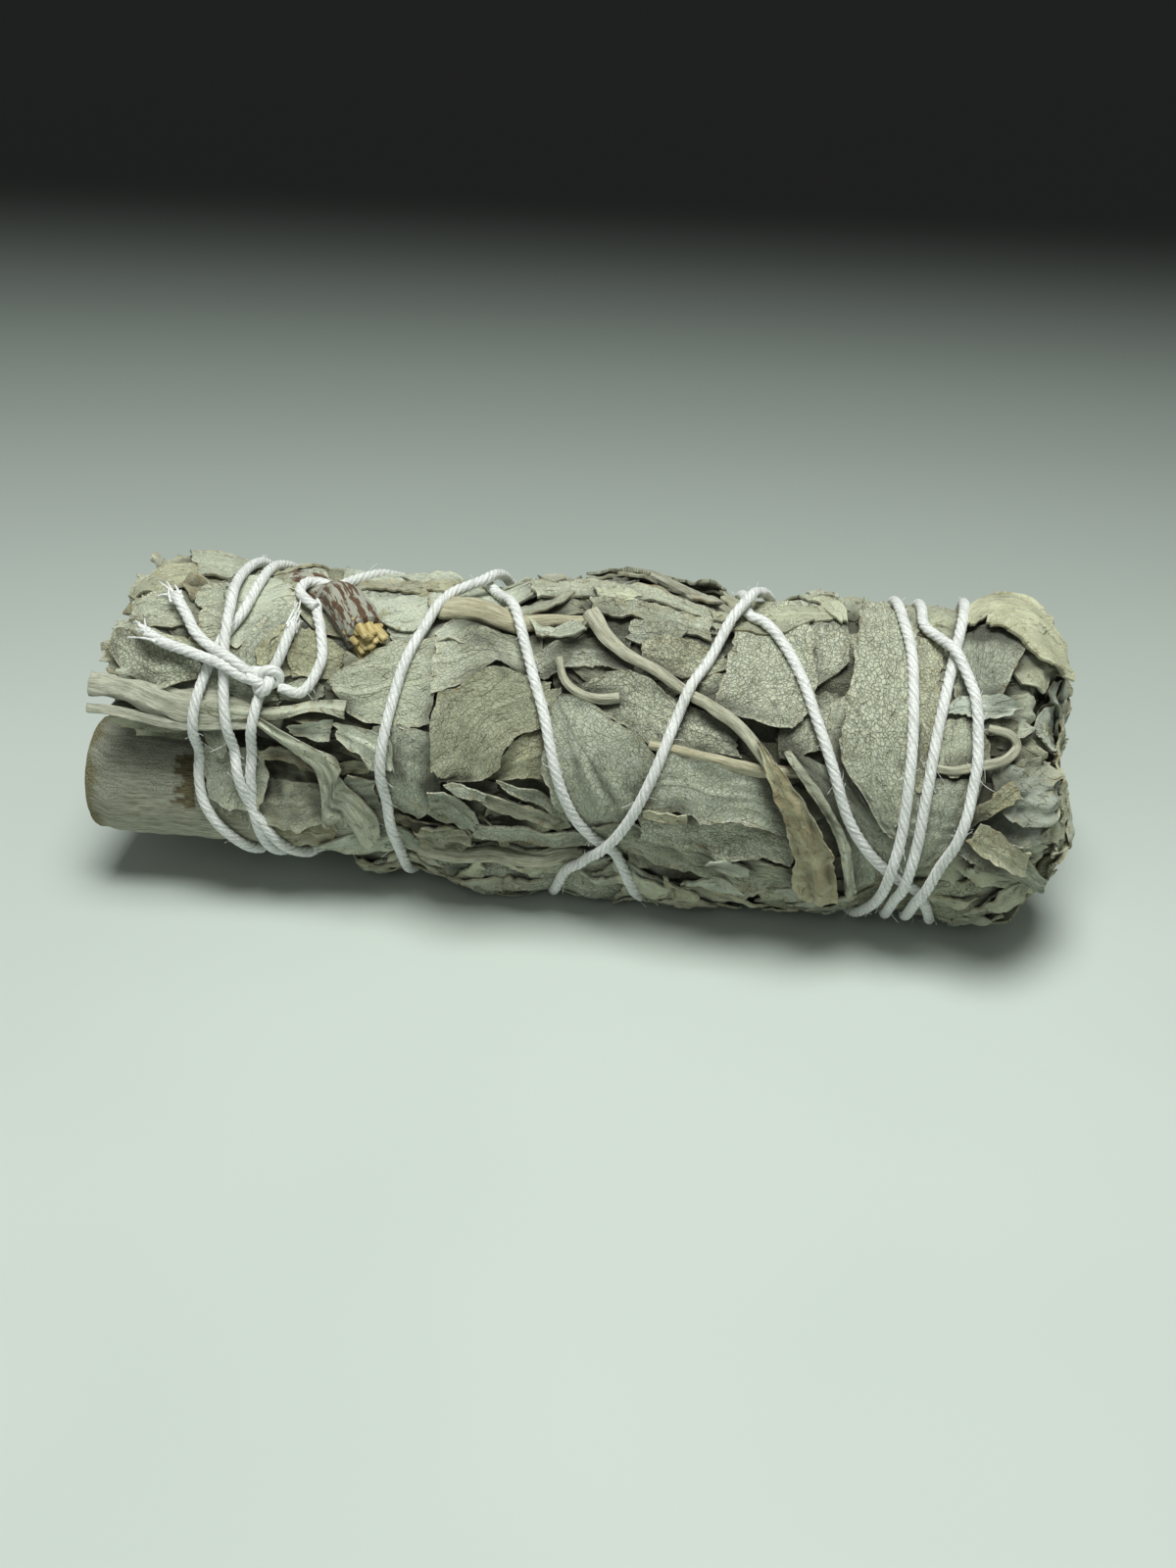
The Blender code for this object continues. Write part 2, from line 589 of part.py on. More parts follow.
def middle_sprig(look):
    """The sprig on the axis: its cut stems show at the left end and its top leaves at the tip end."""
    rng = np.random.default_rng(7)
    turn = np.arange(12) * 2 * math.pi / 12
    rings = []
    for x in np.append(np.linspace(left_end - 1.0 * mm, 42.0 * mm, 8), np.array([44.0, 45.4]) * mm):
        taper = np.interp(x, np.array([42.0, 44.0, 45.4]) * mm, [1.0, 0.8, 0.42])
        radius = taper * middle_radius * (1 + 0.03 * np.sin(3 * turn + 60 * x))
        rings.append(
            np.stack([np.full(12, x), -radius * np.cos(turn), axis_height + radius * np.sin(turn)], axis=1)
        )
    body = loft("sprig_middle", rings, look)
    pieces = []
    for angle, radius_at, thickness in ((0.6, 2.9, 1.6), (2.7, 3.1, 1.3), (4.7, 2.6, 1.5)):
        reach = left_end - rng.uniform(2.4, 4.2) * mm
        pieces.append(stem_end("middle_stem", reach, radius_at * mm, angle, thickness * mm, look))
    for angle, reach in ((0.4, 48.6), (2.3, 47.4), (4.4, 48.0)):
        points = [
            polar(41 * mm, 1.2 * mm, angle),
            polar(44.4 * mm, 1.5 * mm, angle),
            polar(reach * mm, 1.1 * mm, angle + 0.3),
        ]
        pieces.append(tube("middle_tip", points, np.array([1.3, 1.2, 0.4]) * mm, 6, look, flat=0.45))
    combine(body, pieces, "UNION")
    keep_largest(body)
    return body


# Separate leaves


def wrap_leaf(name, corners, seed, look, grow=0.0):
    """A leaf lying over the sprigs, under the string, as a thin blade of its own. grow makes the
    room that it needs where the string presses it into the sprigs."""
    rng = np.random.default_rng(seed)
    middle, outline = polygon_outline(corners, 2.9 * mm, 0.10, rng)
    span = np.linalg.norm((outline - middle) * np.array([1.0, 15 * mm]), axis=1).max()
    rings = max(2, int(math.ceil(span / (3.2 * mm))))
    heights = np.full((rings, len(outline)), wrap_top + grow)
    beyond = np.clip((outline[:, 0] - 41 * mm) / (6 * mm), 0, 1)
    beyond = beyond + np.clip((-39 * mm - outline[:, 0]) / (6 * mm), 0, 1)
    heights = heights + 1.9 * mm * beyond
    heights[-1] += beyond * rng.uniform(0.0, 0.9, len(outline)) * mm
    if grow:
        outline = middle + (outline - middle) * (1 + grow / span)
    return blade(name, outline, middle, heights, look, thickness=blade_thickness + 2 * grow)


# String


def clear_of_stem(points):
    """Points too near the thick stem move away from its axis. Behind it the string runs straight
    down to the floor."""
    centre = np.array(polar(0.0, thick_stem_offset, thick_stem_angle))[1:]
    away = points[..., 1:] - centre
    far = np.linalg.norm(away, axis=-1, keepdims=True)
    reach = thick_stem_radius + string_radius + 0.4 * mm
    near = (points[..., :1] < thick_stem_right + 1.5 * mm) & (far < reach)
    points[..., 1:] = np.where(near, centre + away * reach / far, points[..., 1:])
    slope = 0.30 * np.clip((-15 * mm - points[..., 0]) / (7 * mm), 0, 1)
    line = 0.75 * mm + slope * (2 * mm - points[..., 1])
    points[..., 2] = np.maximum(points[..., 2], np.minimum(line, 5 * mm))
    return points


def string_place(t, angle, lift):
    """The string lies over the wrapped leaves, and in the underside it is sunk out of the way."""
    sunk = underside(angle)
    points = place(t, angle, (1 - sunk) * (string_height + lift) - sunk * string_floor)
    points = clear_of_stem(points)
    points[..., 2] = np.maximum(points[..., 2], string_radius + 0.05 * mm)
    return points


def resample(points, step):
    """The same curve with points an equal distance apart."""
    gaps = np.linalg.norm(np.diff(points[:, :3], axis=0), axis=1)
    run = np.concatenate([[0.0], np.cumsum(gaps)])
    count = max(3, int(round(run[-1] / step)) + 1)
    at = np.linspace(0.0, run[-1], count)
    return np.stack([np.interp(at, run, column) for column in points.T], axis=1)


def make_string(look):
    """One tube along the whole route, made one with its knot and loose ends."""
    route = smooth_curve(route_to_si(string_route), 12)
    path = resample(string_place(route[:, 0], route[:, 1], route[:, 2]), string_step)
    body = tube("string", path, string_radius, string_sides, look)
    pieces = []
    for number, end in enumerate(loose_ends):
        curve = smooth_curve(route_to_si(end), 8)
        curve = resample(string_place(curve[:, 0], curve[:, 1], curve[:, 2] + 0.1 * mm), 2.2 * mm)
        pieces.append(tube(f"string_end_{number}", curve, 0.56 * mm, 5, look))
    t, angle = route_to_si([knot_at])[0]
    knot = place(np.array([t]), np.array([angle]), np.array([string_height + 0.5 * mm]))[0]
    pieces.append(ball("string_knot", knot, np.array([1.8, 1.25, 1.5]) * mm, look))
    combine(body, pieces, "UNION")
    keep_largest(body)
    return body


# Woody pieces


def thick_stem(grow, look):
    """The bent, slightly tapering stem with a worn left end. grow makes the room that it needs."""
    stations = [thick_stem_left - grow, -44 * mm, -38 * mm, -30 * mm, -22 * mm, thick_stem_right + grow]
    drop = np.array([0.0, -0.1, 0.0, 0.1, -0.5, -1.2]) * mm
    points = [polar(x, thick_stem_offset + d, thick_stem_angle) for x, d in zip(stations, drop)]
    radii = np.array([0.90, 0.985, 0.975, 0.985, 0.93, 0.83]) * thick_stem_radius
    return tube("thick_stem", points, radii + grow, 18, look)


def lying_stem(name, sides, flat, stations, grow, look):
    """A stem lying in the leaves, along stations of (t, angle, radius, height)."""
    stations = route_to_si(stations)
    shape = smooth_curve(stations, 8)
    points = place(shape[:, 0], shape[:, 1], shape[:, 3])
    both = resample(np.column_stack([points, shape[:, 2]]), 2.4 * mm)
    points = both[:, :3]
    points[0] += grow * (points[0] - points[1]) / np.linalg.norm(points[0] - points[1])
    points[-1] += grow * (points[-1] - points[-2]) / np.linalg.norm(points[-1] - points[-2])
    return tube(name, points, both[:, 3] + grow / (flat if flat < 1 else 1.0), sides, look, flat)


def floor_block(look):
    """What lies under the surface that the bunch rests on. It cuts the lowest leaves flat."""
    corners = [(x, y, z) for x in (-0.06, 0.06) for y in (-0.03, 0.03) for z in (-0.004, 0.0)]
    faces = [(0, 1, 3, 2), (4, 6, 7, 5), (0, 4, 5, 1), (2, 3, 7, 6), (0, 2, 6, 4), (1, 5, 7, 3)]
    return new_object("floor_block", corners, faces, look)


def underside_rooms(look):
    """The grooves that the string needs in the leaves of the underside, one for each turn."""
    route = smooth_curve(route_to_si(string_route), 12)
    sunk = underside(route[:, 1]) > 0.03
    edges = np.flatnonzero(np.diff(sunk.astype(int)))
    rooms = []
    for start, stop in zip(edges[::2] + 1, edges[1::2] + 1):
        part = route[start:stop]
        path = resample(string_place(part[:, 0], part[:, 1], part[:, 2]), 4.6 * mm)
        rooms.append(tube("room", path, (string_radius + clearance) * math.sqrt(2), 4, look))
    return rooms


def carve(targets, cutters):
    """Cuts the room for the cutters out of each target that reaches them, then removes the cutters."""
    bpy.context.view_layer.update()
    boxes = []
    for thing in targets + cutters:
        corners = np.array([tuple(v.co) for v in thing.data.vertices])
        boxes.append((corners.min(axis=0), corners.max(axis=0)))
    for number, target in enumerate(targets):
        low, high = boxes[number]
        near = []
        for other, cutter in enumerate(cutters):
            cut_low, cut_high = boxes[len(targets) + other]
            if (cut_low < high).all() and (cut_high > low).all():
                copy = cutter.copy()
                copy.data = cutter.data.copy()
                bpy.context.scene.collection.objects.link(copy)
                near.append(copy)
        combine(target, near, "DIFFERENCE")
        keep_largest(target)
    for cutter in cutters:
        bpy.data.objects.remove(cutter)


def settle(things):
    """Moves everything so that the middle of the box is over the origin and the underside at 0."""
    corners = np.array([tuple(v.co) for thing in things for v in thing.data.vertices])
    low, high = corners.min(axis=0), corners.max(axis=0)
    shift = np.array([-(low[0] + high[0]) / 2, -(low[1] + high[1]) / 2, -low[2]])
    for thing in things:
        flat = np.empty(len(thing.data.vertices) * 3)
        thing.data.vertices.foreach_get("co", flat)
        flat = (flat.reshape(-1, 3) + shift).ravel()
        thing.data.vertices.foreach_set("co", flat)
        thing.data.update()


clear_scene()
leaf_look = material("sage_leaf", sage_green)
pale_look = material("sage_leaf_pale", sage_pale)
string_look = material("cotton", white_cotton)
bark_look = material("stem_bark", dark_bark)
wood_look = material("pale_stem", pale_wood)

sprigs = [outer_sprig(number, leaf_look) for number in range(outer_sprigs)]
sprigs.append(middle_sprig(leaf_look))
wraps = []
wrap_rooms = []
for seed, (name, corners) in enumerate(wrap_outlines.items()):
    wraps.append(wrap_leaf(name, corners, 50 + seed, pale_look))
    if name in pressed_wraps:
        wrap_rooms.append(wrap_leaf(name + "_room", corners, 50 + seed, pale_look, stem_gap))

woody = [thick_stem(0.0, bark_look)]
cutters = [thick_stem(stem_gap, bark_look)]
for name, (sides, flat, stations) in lying_stems.items():
    look = bark_look if name in dark_stems else wood_look
    woody.append(lying_stem(name, sides, flat, stations, 0.0, look))
    cutters.append(lying_stem(name + "_room", sides, flat, stations, stem_gap, look))
curled = next(wrap for wrap in wraps if wrap.name == "leaf_curled_brown")
petiole = next(stem for stem in woody if stem.name == "curled_leaf_petiole")
woody.remove(petiole)
carve(sprigs, cutters + wrap_rooms + underside_rooms(leaf_look) + [floor_block(leaf_look)])
combine(curled, [petiole], "UNION")

string = make_string(string_look)
settle(sprigs + wraps + woody + [string])
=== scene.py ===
# Dried white sage bunch: leaves draped in layers over the pressed sprigs, cut stems at the left
# end, crumpled leaf tips at the right end and one cotton string around it all.
import math

import bpy
import numpy as np
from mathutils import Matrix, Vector


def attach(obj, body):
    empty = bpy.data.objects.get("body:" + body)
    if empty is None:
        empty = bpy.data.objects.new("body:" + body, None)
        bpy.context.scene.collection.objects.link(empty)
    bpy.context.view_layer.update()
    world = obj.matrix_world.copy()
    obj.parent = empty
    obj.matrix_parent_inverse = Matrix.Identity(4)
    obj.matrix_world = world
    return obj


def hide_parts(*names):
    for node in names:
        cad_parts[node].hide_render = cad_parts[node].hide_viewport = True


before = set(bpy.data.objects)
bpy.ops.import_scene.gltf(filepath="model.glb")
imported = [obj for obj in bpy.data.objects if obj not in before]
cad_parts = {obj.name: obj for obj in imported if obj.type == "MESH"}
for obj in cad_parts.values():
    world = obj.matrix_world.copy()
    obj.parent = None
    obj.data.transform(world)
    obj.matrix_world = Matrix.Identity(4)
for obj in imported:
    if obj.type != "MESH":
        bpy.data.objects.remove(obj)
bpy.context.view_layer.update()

# The bunch in millimetres. A place on it is (t, angle, height): t runs along the bunch and over
# the rounded tip end, the angle is 0 at the front and 90 degrees at the top, and the height is
# measured outwards from the pressed leaves.
bundle = {
    "axisHeight": 15.7, "domeStart": 36.0, "domeDepth": 10.5, "belly": 2.1,
    "stations": [-50, -31, -5, 14, 33, 50], "radii": [14.3, 14.2, 14.6, 14.4, 15.2, 15.4],
    "dent": 0.75, "dentWidth": 2.2, "underGap": 0.75, "shift": (0.392, -0.026, 0.0),
    "girth": 15.0, "mapStart": -54.0, "mapStep": 0.5, "mapColumns": 232, "mapRows": 188,
}


# Catmull-Rom curve through the points, with perSpan samples in each span.
def smoothCurve(points, perSpan):
    p = np.array(points, float)
    p = np.vstack([2 * p[0] - p[1], p, 2 * p[-1] - p[-2]])
    u = (np.arange(perSpan) / perSpan)[:, None]
    spans = []
    for a, b, c, d in zip(p[:-3], p[1:-2], p[2:-1], p[3:]):
        bent = (c - a) * u + (2 * a - 5 * b + 4 * c - d) * u**2 + (3 * b - a - 3 * c + d) * u**3
        spans.append(0.5 * (2 * b + bent))
    return np.vstack(spans + [p[-2:-1]])


# The same curve with points an equal distance apart, by its first three columns.
def resample(points, step):
    run = np.concatenate([[0.0], np.cumsum(np.linalg.norm(np.diff(points[:, :3], axis=0), axis=1))])
    at = np.linspace(0.0, run[-1], max(3, int(run[-1] / step) + 1))
    return np.stack([np.interp(at, run, column) for column in points.T], axis=1)


# The same rows with their second column turned from degrees into radians.
def inRadians(points):
    points = np.array(points, float)
    points[:, 1] = np.radians(points[:, 1])
    return points


# An angle brought between minus and plus half a turn.
def wrapped(angle):
    return (angle + math.pi) % (2 * math.pi) - math.pi


# 0 below 0 and 1 above 1, with a smooth cubic between.
def smoothStep(value):
    value = np.clip(value, 0, 1)
    return value * value * (3 - 2 * value)


# 1 on the underside and 0 on the sides, by a smooth step of the angle from straight down.
def underside(angle):
    return smoothStep((math.radians(62) - np.abs(wrapped(angle + math.pi / 2))) / math.radians(32))


# A map of the whole surface is an array of (t, angle) cells. This reads it between its cells,
# by the weighted mean of the four cells around each place.
def readMap(values, t, angle):
    column = np.clip((t - bundle["mapStart"]) / bundle["mapStep"], 0, bundle["mapColumns"] - 1.001)
    row = (angle / (2 * math.pi) * bundle["mapRows"]) % bundle["mapRows"]
    i, j = column.astype(int), row.astype(int) % bundle["mapRows"]
    u, v = column - i, row - row.astype(int)
    k = (j + 1) % bundle["mapRows"]
    low = values[i, j] * (1 - v) + values[i, k] * v
    return low * (1 - u) + (values[i + 1, j] * (1 - v) + values[i + 1, k] * v) * u


# A map blurred by a Gaussian of that width in mm, as a product in the frequency domain.
def blurMap(values, width):
    along = np.fft.fftfreq(bundle["mapColumns"], bundle["mapStep"])[:, None]
    across = np.fft.rfftfreq(bundle["mapRows"], bundle["mapStep"])[None]
    weight = np.exp(-2 * (math.pi * width) ** 2 * (along**2 + across**2))
    return np.fft.irfft2(np.fft.rfft2(values) * weight, s=values.shape)


# Writes sheet heights into the map wherever they stand above what is there.
def raiseMap(values, t, angle, height):
    i = np.rint((t - bundle["mapStart"]) / bundle["mapStep"]).astype(int)
    j = np.rint(angle / (2 * math.pi) * bundle["mapRows"]).astype(int) % bundle["mapRows"]
    inside = (i >= 0) & (i < bundle["mapColumns"])
    np.maximum.at(values, (i[inside], j[inside]), height[inside])


mapT = bundle["mapStart"] + bundle["mapStep"] * np.arange(bundle["mapColumns"])
mapAngle = np.arange(bundle["mapRows"]) * 2 * math.pi / bundle["mapRows"]
mapT, mapAngle = np.meshgrid(mapT, mapAngle, indexing="ij")


# Distance in mm along the surface from every cell of the map to the nearest of the points.
def awayMap(points):
    nearest = np.full(mapT.shape, 1e6)
    for t, angle in points[:, :2]:
        turn = wrapped(mapAngle - angle)
        nearest = np.minimum(nearest, (mapT - t) ** 2 + (bundle["girth"] * turn) ** 2)
    return np.sqrt(nearest)


# The string's route, one list for each turn, as (t in mm, angle in degrees, lift in mm). Every
# turn goes down the front and up behind. The lift carries the string over an earlier turn.
stringTurns = [
    [
        (-30.4, 41, 0), (-30.8, 31, 0), (-31.6, 14, 0), (-31.9, -8, 0), (-31.3, -28, 0), (-29.6, -60, 0),
        (-28.6, -95, 0), (-29.0, -135, 0), (-30.8, -180, 0), (-32.2, -225, 0), (-33.2, -250, 0),
    ],
    [
        (-33.3, 86, 0), (-33.7, 68, 0), (-35.2, 52, 0), (-36.6, 32, 0), (-37.3, 10, 0), (-37.2, -8, 0),
        (-36.0, -20, 0), (-33.6, -36, 0), (-31.6, -65, 0), (-31.2, -100, 0), (-32.2, -140, 0),
        (-33.8, -190, 0), (-35.2, -235, 0),
    ],
    [
        (-35.5, 100, 0), (-35.2, 84, 0.5), (-34.4, 65, 1.7), (-34.2, 50, 0.8), (-33.8, 30, 0),
        (-33.4, 14, 0.2), (-32.9, 2, 1.2), (-32.2, -9, 1.7), (-30.9, -19, 1.3), (-29.5, -32, 0.5),
        (-25.4, -65, 0), (-21.8, -115, 0), (-18.9, -165, 0), (-15.9, -200, 0), (-13.2, -228, 0),
        (-11.5, -247, 0),
    ],
    [
        (-9.9, 98, 0), (-7.4, 82, 0), (-5.6, 65, 0), (-4.2, 50, 0), (-2.8, 36, 0), (-1.2, 14, 0),
        (0.4, -4, 0), (2.5, -19, 0), (5.0, -38, 0), (8.0, -90, 0), (10.8, -150, 0), (13.0, -215, 0),
        (14.6, -250, 0),
    ],
    [
        (15.2, 90, 0), (17.0, 84, 0), (18.9, 74, 0), (20.6, 61, 0), (22.4, 44, 0), (24.4, 26, 0),
        (26.2, 8, 0), (28.4, -6, 0), (30.8, -18, 0), (33.5, -31, 0), (35.2, -55, 0), (36.0, -110, 0),
        (36.2, -180, 0), (36.1, -235, 0),
    ],
    [
        (35.8, 97, 0), (35.2, 80, 0), (34.4, 60, 0), (33.7, 40, 0), (33.2, 20, 0), (32.8, 0, 0.3),
        (32.4, -10, 1.2), (31.9, -21, 1.7), (31.3, -34, 1.1), (30.8, -60, 0), (30.2, -110, 0),
        (30.6, -170, 0), (31.4, -220, 0), (31.9, -250, 0),
    ],
    [
        (32.1, 92, 0), (33.6, 82, 0.6), (35.1, 71, 1.7), (36.4, 61, 0.6), (37.3, 50, 0), (37.7, 34, 0),
        (37.3, 18, 0), (36.4, 4, 0), (35.2, -8, 0.6), (34.2, -20, 1.6), (33.4, -29, 1.7), (33.0, -42, 1.0),
        (32.8, -60, 0), (32.6, -100, 0), (32.6, -150, 0.2), (31.8, -170, 1.4), (30.8, -186, 1.7),
        (29.8, -202, 1.4), (29.2, -222, 0.2), (29.4, -248, 0),
    ],
    [
        (30.0, 94, 0), (30.9, 75, 0), (31.3, 55, 0), (31.5, 35, 0), (31.4, 15, 0), (31.2, 2, 0.2),
        (30.8, -7, 1.3), (30.4, -16, 1.7), (30.0, -27, 1.5), (29.3, -42, 0.6), (27.6, -60, 0),
        (24.4, -95, 0), (20.8, -150, 0), (17.8, -210, 0.1), (16.4, -243, 0.8),
    ],
    [
        (15.4, 94, 1.7), (13.7, 81, 0.9), (12.2, 66, 0), (10.7, 52, 0), (9.6, 39, 0), (8.2, 22, 0),
        (6.0, 2, 0.1), (4.2, -11, 1.0), (2.5, -20, 1.7), (0.8, -29, 1.0), (-1.5, -42, 0.1),
        (-4.5, -90, 0), (-7.2, -150, 0), (-9.2, -215, 0.1), (-10.0, -245, 1.2),
    ],
    [
        (-10.8, 101, 1.7), (-12.4, 92, 1.2), (-13.9, 84, 0.2), (-15.4, 70, 0), (-17.0, 51, 0),
        (-17.9, 32, 0), (-18.6, 10, 0), (-18.4, -10, 0), (-18.0, -34, 0), (-17.6, -70, 0),
        (-17.3, -115, 0), (-17.5, -150, 0.3), (-18.1, -172, 1.8), (-19.2, -195, 0.6), (-20.8, -222, 0),
        (-22.1, -243, 0),
    ],
    [
        (-23.0, 108, 0), (-24.8, 96, 0), (-26.3, 86, 0), (-26.6, 75, 0), (-25.6, 64, 0), (-25.0, 51, 0),
        (-26.4, 39, 0), (-28.7, 40, 0.2),
    ],
]
stringRoute = [
    (t, angle - 360 * turn, lift) for turn, row in enumerate(stringTurns) for t, angle, lift in row
]
knotAt = (-30.1, 42)
# Loose ends from the knot, and the hitch near the top, as (t, angle, lift)
looseEnds = [
    [
        (-30.1, 42, 0.3), (-31.6, 44, 0.9), (-33.6, 48, 1.7), (-35.4, 51, 1.7), (-37.2, 56, 0.8),
        (-38.6, 63, 0.4), (-40.3, 71, 0.6),
    ],
    [
        (-30.1, 41, 0.3), (-32.0, 42, 1.0), (-33.8, 45, 1.7), (-35.8, 47, 1.8), (-37.8, 49, 1.0),
        (-39.9, 51, 0.6), (-41.8, 54, 0.8),
    ],
    [(-30.1, 43, 0.3), (-29.2, 46, 0.4), (-28.4, 53, 0.3), (-27.8, 62, 0.8)],
    [(-26.6, 74, 0.5), (-28.4, 79, 0.5), (-28.2, 87, 0.5), (-26.4, 88, 0.8), (-25.4, 78, 0.8)],
]


stringSamples = smoothCurve(inRadians(stringRoute), 6)
awayFromString = awayMap(stringSamples)
dentMap = bundle["dent"] * np.exp(-((awayFromString / bundle["dentWidth"]) ** 2))


# Radius of the pressed leaves: the stations' radii with two waves round the bunch, more below,
# less under the string, and no more than reaches down to the floor.
def bodyRadius(t, angle):
    base = np.interp(np.minimum(t, bundle["domeStart"]), bundle["stations"], bundle["radii"])
    base = base * (1 + 0.016 * np.sin(3 * angle + 0.04 * t) + 0.010 * np.sin(5 * angle - 0.09 * t))
    base = base + bundle["belly"] * underside(angle) - readMap(dentMap, t, angle)
    down = np.cos(angle + math.pi / 2)
    limit = np.where(down > 0.2, (bundle["axisHeight"] - bundle["underGap"]) / np.maximum(down, 0.2), 99.0)
    return np.minimum(base, limit)


# Below 0.6 mm, heights over the floor are squeezed by an exponential, so nothing goes through it.
def aboveFloor(z):
    return np.where(z < 0.6, 0.02 + 0.58 * np.exp(np.minimum(z - 0.6, 0) / 0.58), z)


# Points at x, at the distance r from the bunch's axis in the direction of the angle.
def fromAxis(x, r, angle):
    z = aboveFloor(bundle["axisHeight"] + r * np.sin(angle))
    return np.stack([x, -r * np.cos(angle), z], axis=-1) + bundle["shift"]


# A vector divided by its length.
def unit(vector):
    return vector / np.linalg.norm(vector)


# Length of the quarter ellipse at the tip end, by the root mean square of its two radii.
tipQuarter = 0.5 * math.pi * math.sqrt((bundle["domeDepth"] ** 2 + bundle["radii"][-1] ** 2) / 2)


# A tube whose tip end closes in a quarter ellipse.
def place(t, angle, height):
    t, angle, height = np.broadcast_arrays(t, angle, height)
    radius = bodyRadius(t, angle)
    depth, start = bundle["domeDepth"], bundle["domeStart"]
    bend = np.clip((t - start) / tipQuarter, 0.0, 1.0) * math.pi / 2
    across, along = radius * np.sin(bend), depth * np.cos(bend)
    length = np.maximum(np.hypot(across, along), 1e-6)
    outX = np.where(bend > 0, across / length, 0.0)
    outR = np.where(bend > 0, along / length, 1.0)
    x = np.minimum(t, start) + depth * np.sin(bend) + height * outX
    return fromAxis(x, radius * np.cos(bend) + height * outR, angle)


# A smooth random surface: the mean of plane waves with seeded directions and wavelengths.
def ripple(x, y, rng, shortest, longest, count=7):
    total = np.zeros(np.shape(x))
    for _ in range(count):
        turn, phase = rng.uniform(0, 2 * math.pi, 2)
        pace = 2 * math.pi / rng.uniform(shortest, longest)
        total += np.sin(pace * (x * math.cos(turn) + y * math.sin(turn)) + phase)
    return total / math.sqrt(count / 2)


# A torn line: straight runs between seeded offsets, coarse ones and fine ones added.
def tornLine(at, rng, coarse, fine):
    total = np.zeros(len(at))
    for pace, size in ((1.5, coarse), (0.45, fine)):
        knots = np.arange(at[0] - pace, at[-1] + 2 * pace, pace)
        knots = knots + rng.uniform(-0.3, 0.3, len(knots)) * pace
        total += np.interp(at, knots, rng.uniform(-1, 1, len(knots)) * size)
    return total


# Faces of count rows carried round a closed section of ring points, with both ends closed.
def sheetFaces(rows, ring):
    i, j = np.meshgrid(np.arange(rows - 1), np.arange(ring), indexing="ij")
    k = (j + 1) % ring
    sides = np.stack([i * ring + j, (i + 1) * ring + j, (i + 1) * ring + k, i * ring + k], axis=-1)
    j = np.arange(ring // 2 - 1)
    first = np.stack([j, j + 1, ring - 2 - j, ring - 1 - j], axis=-1)
    last = first[:, ::-1] + (rows - 1) * ring
    return np.vstack([sides.reshape(-1, 4), first, last])


# Kind and field of a point attribute, by how many values a point has
attributeKinds = {1: ("FLOAT", "value"), 3: ("FLOAT_VECTOR", "vector"), 4: ("FLOAT_COLOR", "color")}


# Faces turned round if the signed volume under them is negative.
def outward(vertices, faces):
    a, b, c, d = (vertices[faces[:, i]] for i in range(4))
    volume = (a * (np.cross(b, c) + np.cross(c, d))).sum()
    return faces if volume > 0 else faces[:, ::-1]


# One mesh object of several parts. Each part is (vertices in mm, quads, point attributes).
def makePiece(name, parts, material, slotName, *nodes, angle=50):
    offsets = np.cumsum([0] + [len(part[0]) for part in parts])
    vertices = np.vstack([part[0] for part in parts]) * 0.001
    faces = np.vstack([outward(part[0], part[1]) + offset for part, offset in zip(parts, offsets)])
    mesh = bpy.data.meshes.new(name)
    mesh.vertices.add(len(vertices))
    mesh.vertices.foreach_set("co", vertices.astype(np.float32).ravel())
    mesh.loops.add(4 * len(faces))
    mesh.loops.foreach_set("vertex_index", faces.astype(np.int32).ravel())
    mesh.polygons.add(len(faces))
    mesh.polygons.foreach_set("loop_start", np.arange(0, 4 * len(faces), 4, dtype=np.int32))
    mesh.update(calc_edges=True)
    for key in parts[0][2]:
        values = np.concatenate([np.asarray(part[2][key], np.float32) for part in parts])
        kind, field = attributeKinds[1 if values.ndim == 1 else values.shape[1]]
        mesh.attributes.new(key, kind, "POINT").data.foreach_set(field, values.ravel())
    mesh.shade_smooth()
    mesh.set_sharp_from_angle(angle=math.radians(angle))
    mesh.materials.append(material)
    piece = bpy.data.objects.new(name, mesh)
    bpy.context.scene.collection.objects.link(piece)
    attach(piece, "root")
    if nodes:
        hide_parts(*nodes)
    return piece


# Looks of the leaves, as (tone, net, hue, brown), each from 0 to 1: pale or dark, how clear the
# net of veins is, bluish or yellowish, and how far it has turned brown.
leafLooks = {
    "pale": (0.76, 0.25, 0.35, 0.0), "felt": (0.62, 0.35, 0.45, 0.05), "darkfelt": (0.40, 0.35, 0.45, 0.15),
    "grey": (0.50, 0.50, 0.35, 0.05), "dark": (0.38, 0.20, 0.60, 0.30), "net": (0.62, 0.90, 0.50, 0.04),
    "tannet": (0.60, 0.80, 0.70, 0.18), "green": (0.27, 0.40, 0.72, 0.05), "olive": (0.40, 0.40, 0.95, 0.12),
    "tan": (0.58, 0.30, 0.80, 0.30), "yellow": (0.76, 0.20, 0.90, 0.15), "blue": (0.55, 0.15, 0.0, 0.0),
    "purple": (0.40, 0.1, 0.1, 0.10), "brown": (0.36, 0.15, 0.60, 0.60),
    "brownfelt": (0.44, 0.20, 0.50, 0.30), "brownleaf": (0.48, 0.05, 1.0, 0.72),
    "strap": (0.57, 0.05, 0.40, 0.14),
}
laidLeaves = []


# Adds ridges to the heights: a bell of that height and width across each line on the surface.
def addRidges(h, spot, ridges):
    scale = np.array([1.0, bundle["girth"]])
    for t1, angle1, t2, angle2, size, wide in ridges:
        start = np.array([t1, math.radians(angle1)]) * scale
        run = np.array([t2, math.radians(angle2)]) * scale - start
        share = np.clip(((spot * scale - start) @ run) / (run @ run), 0, 1)
        off = np.linalg.norm(spot * scale - start - share[..., None] * run, axis=-1)
        h += size * np.exp(-((off / wide) ** 2))


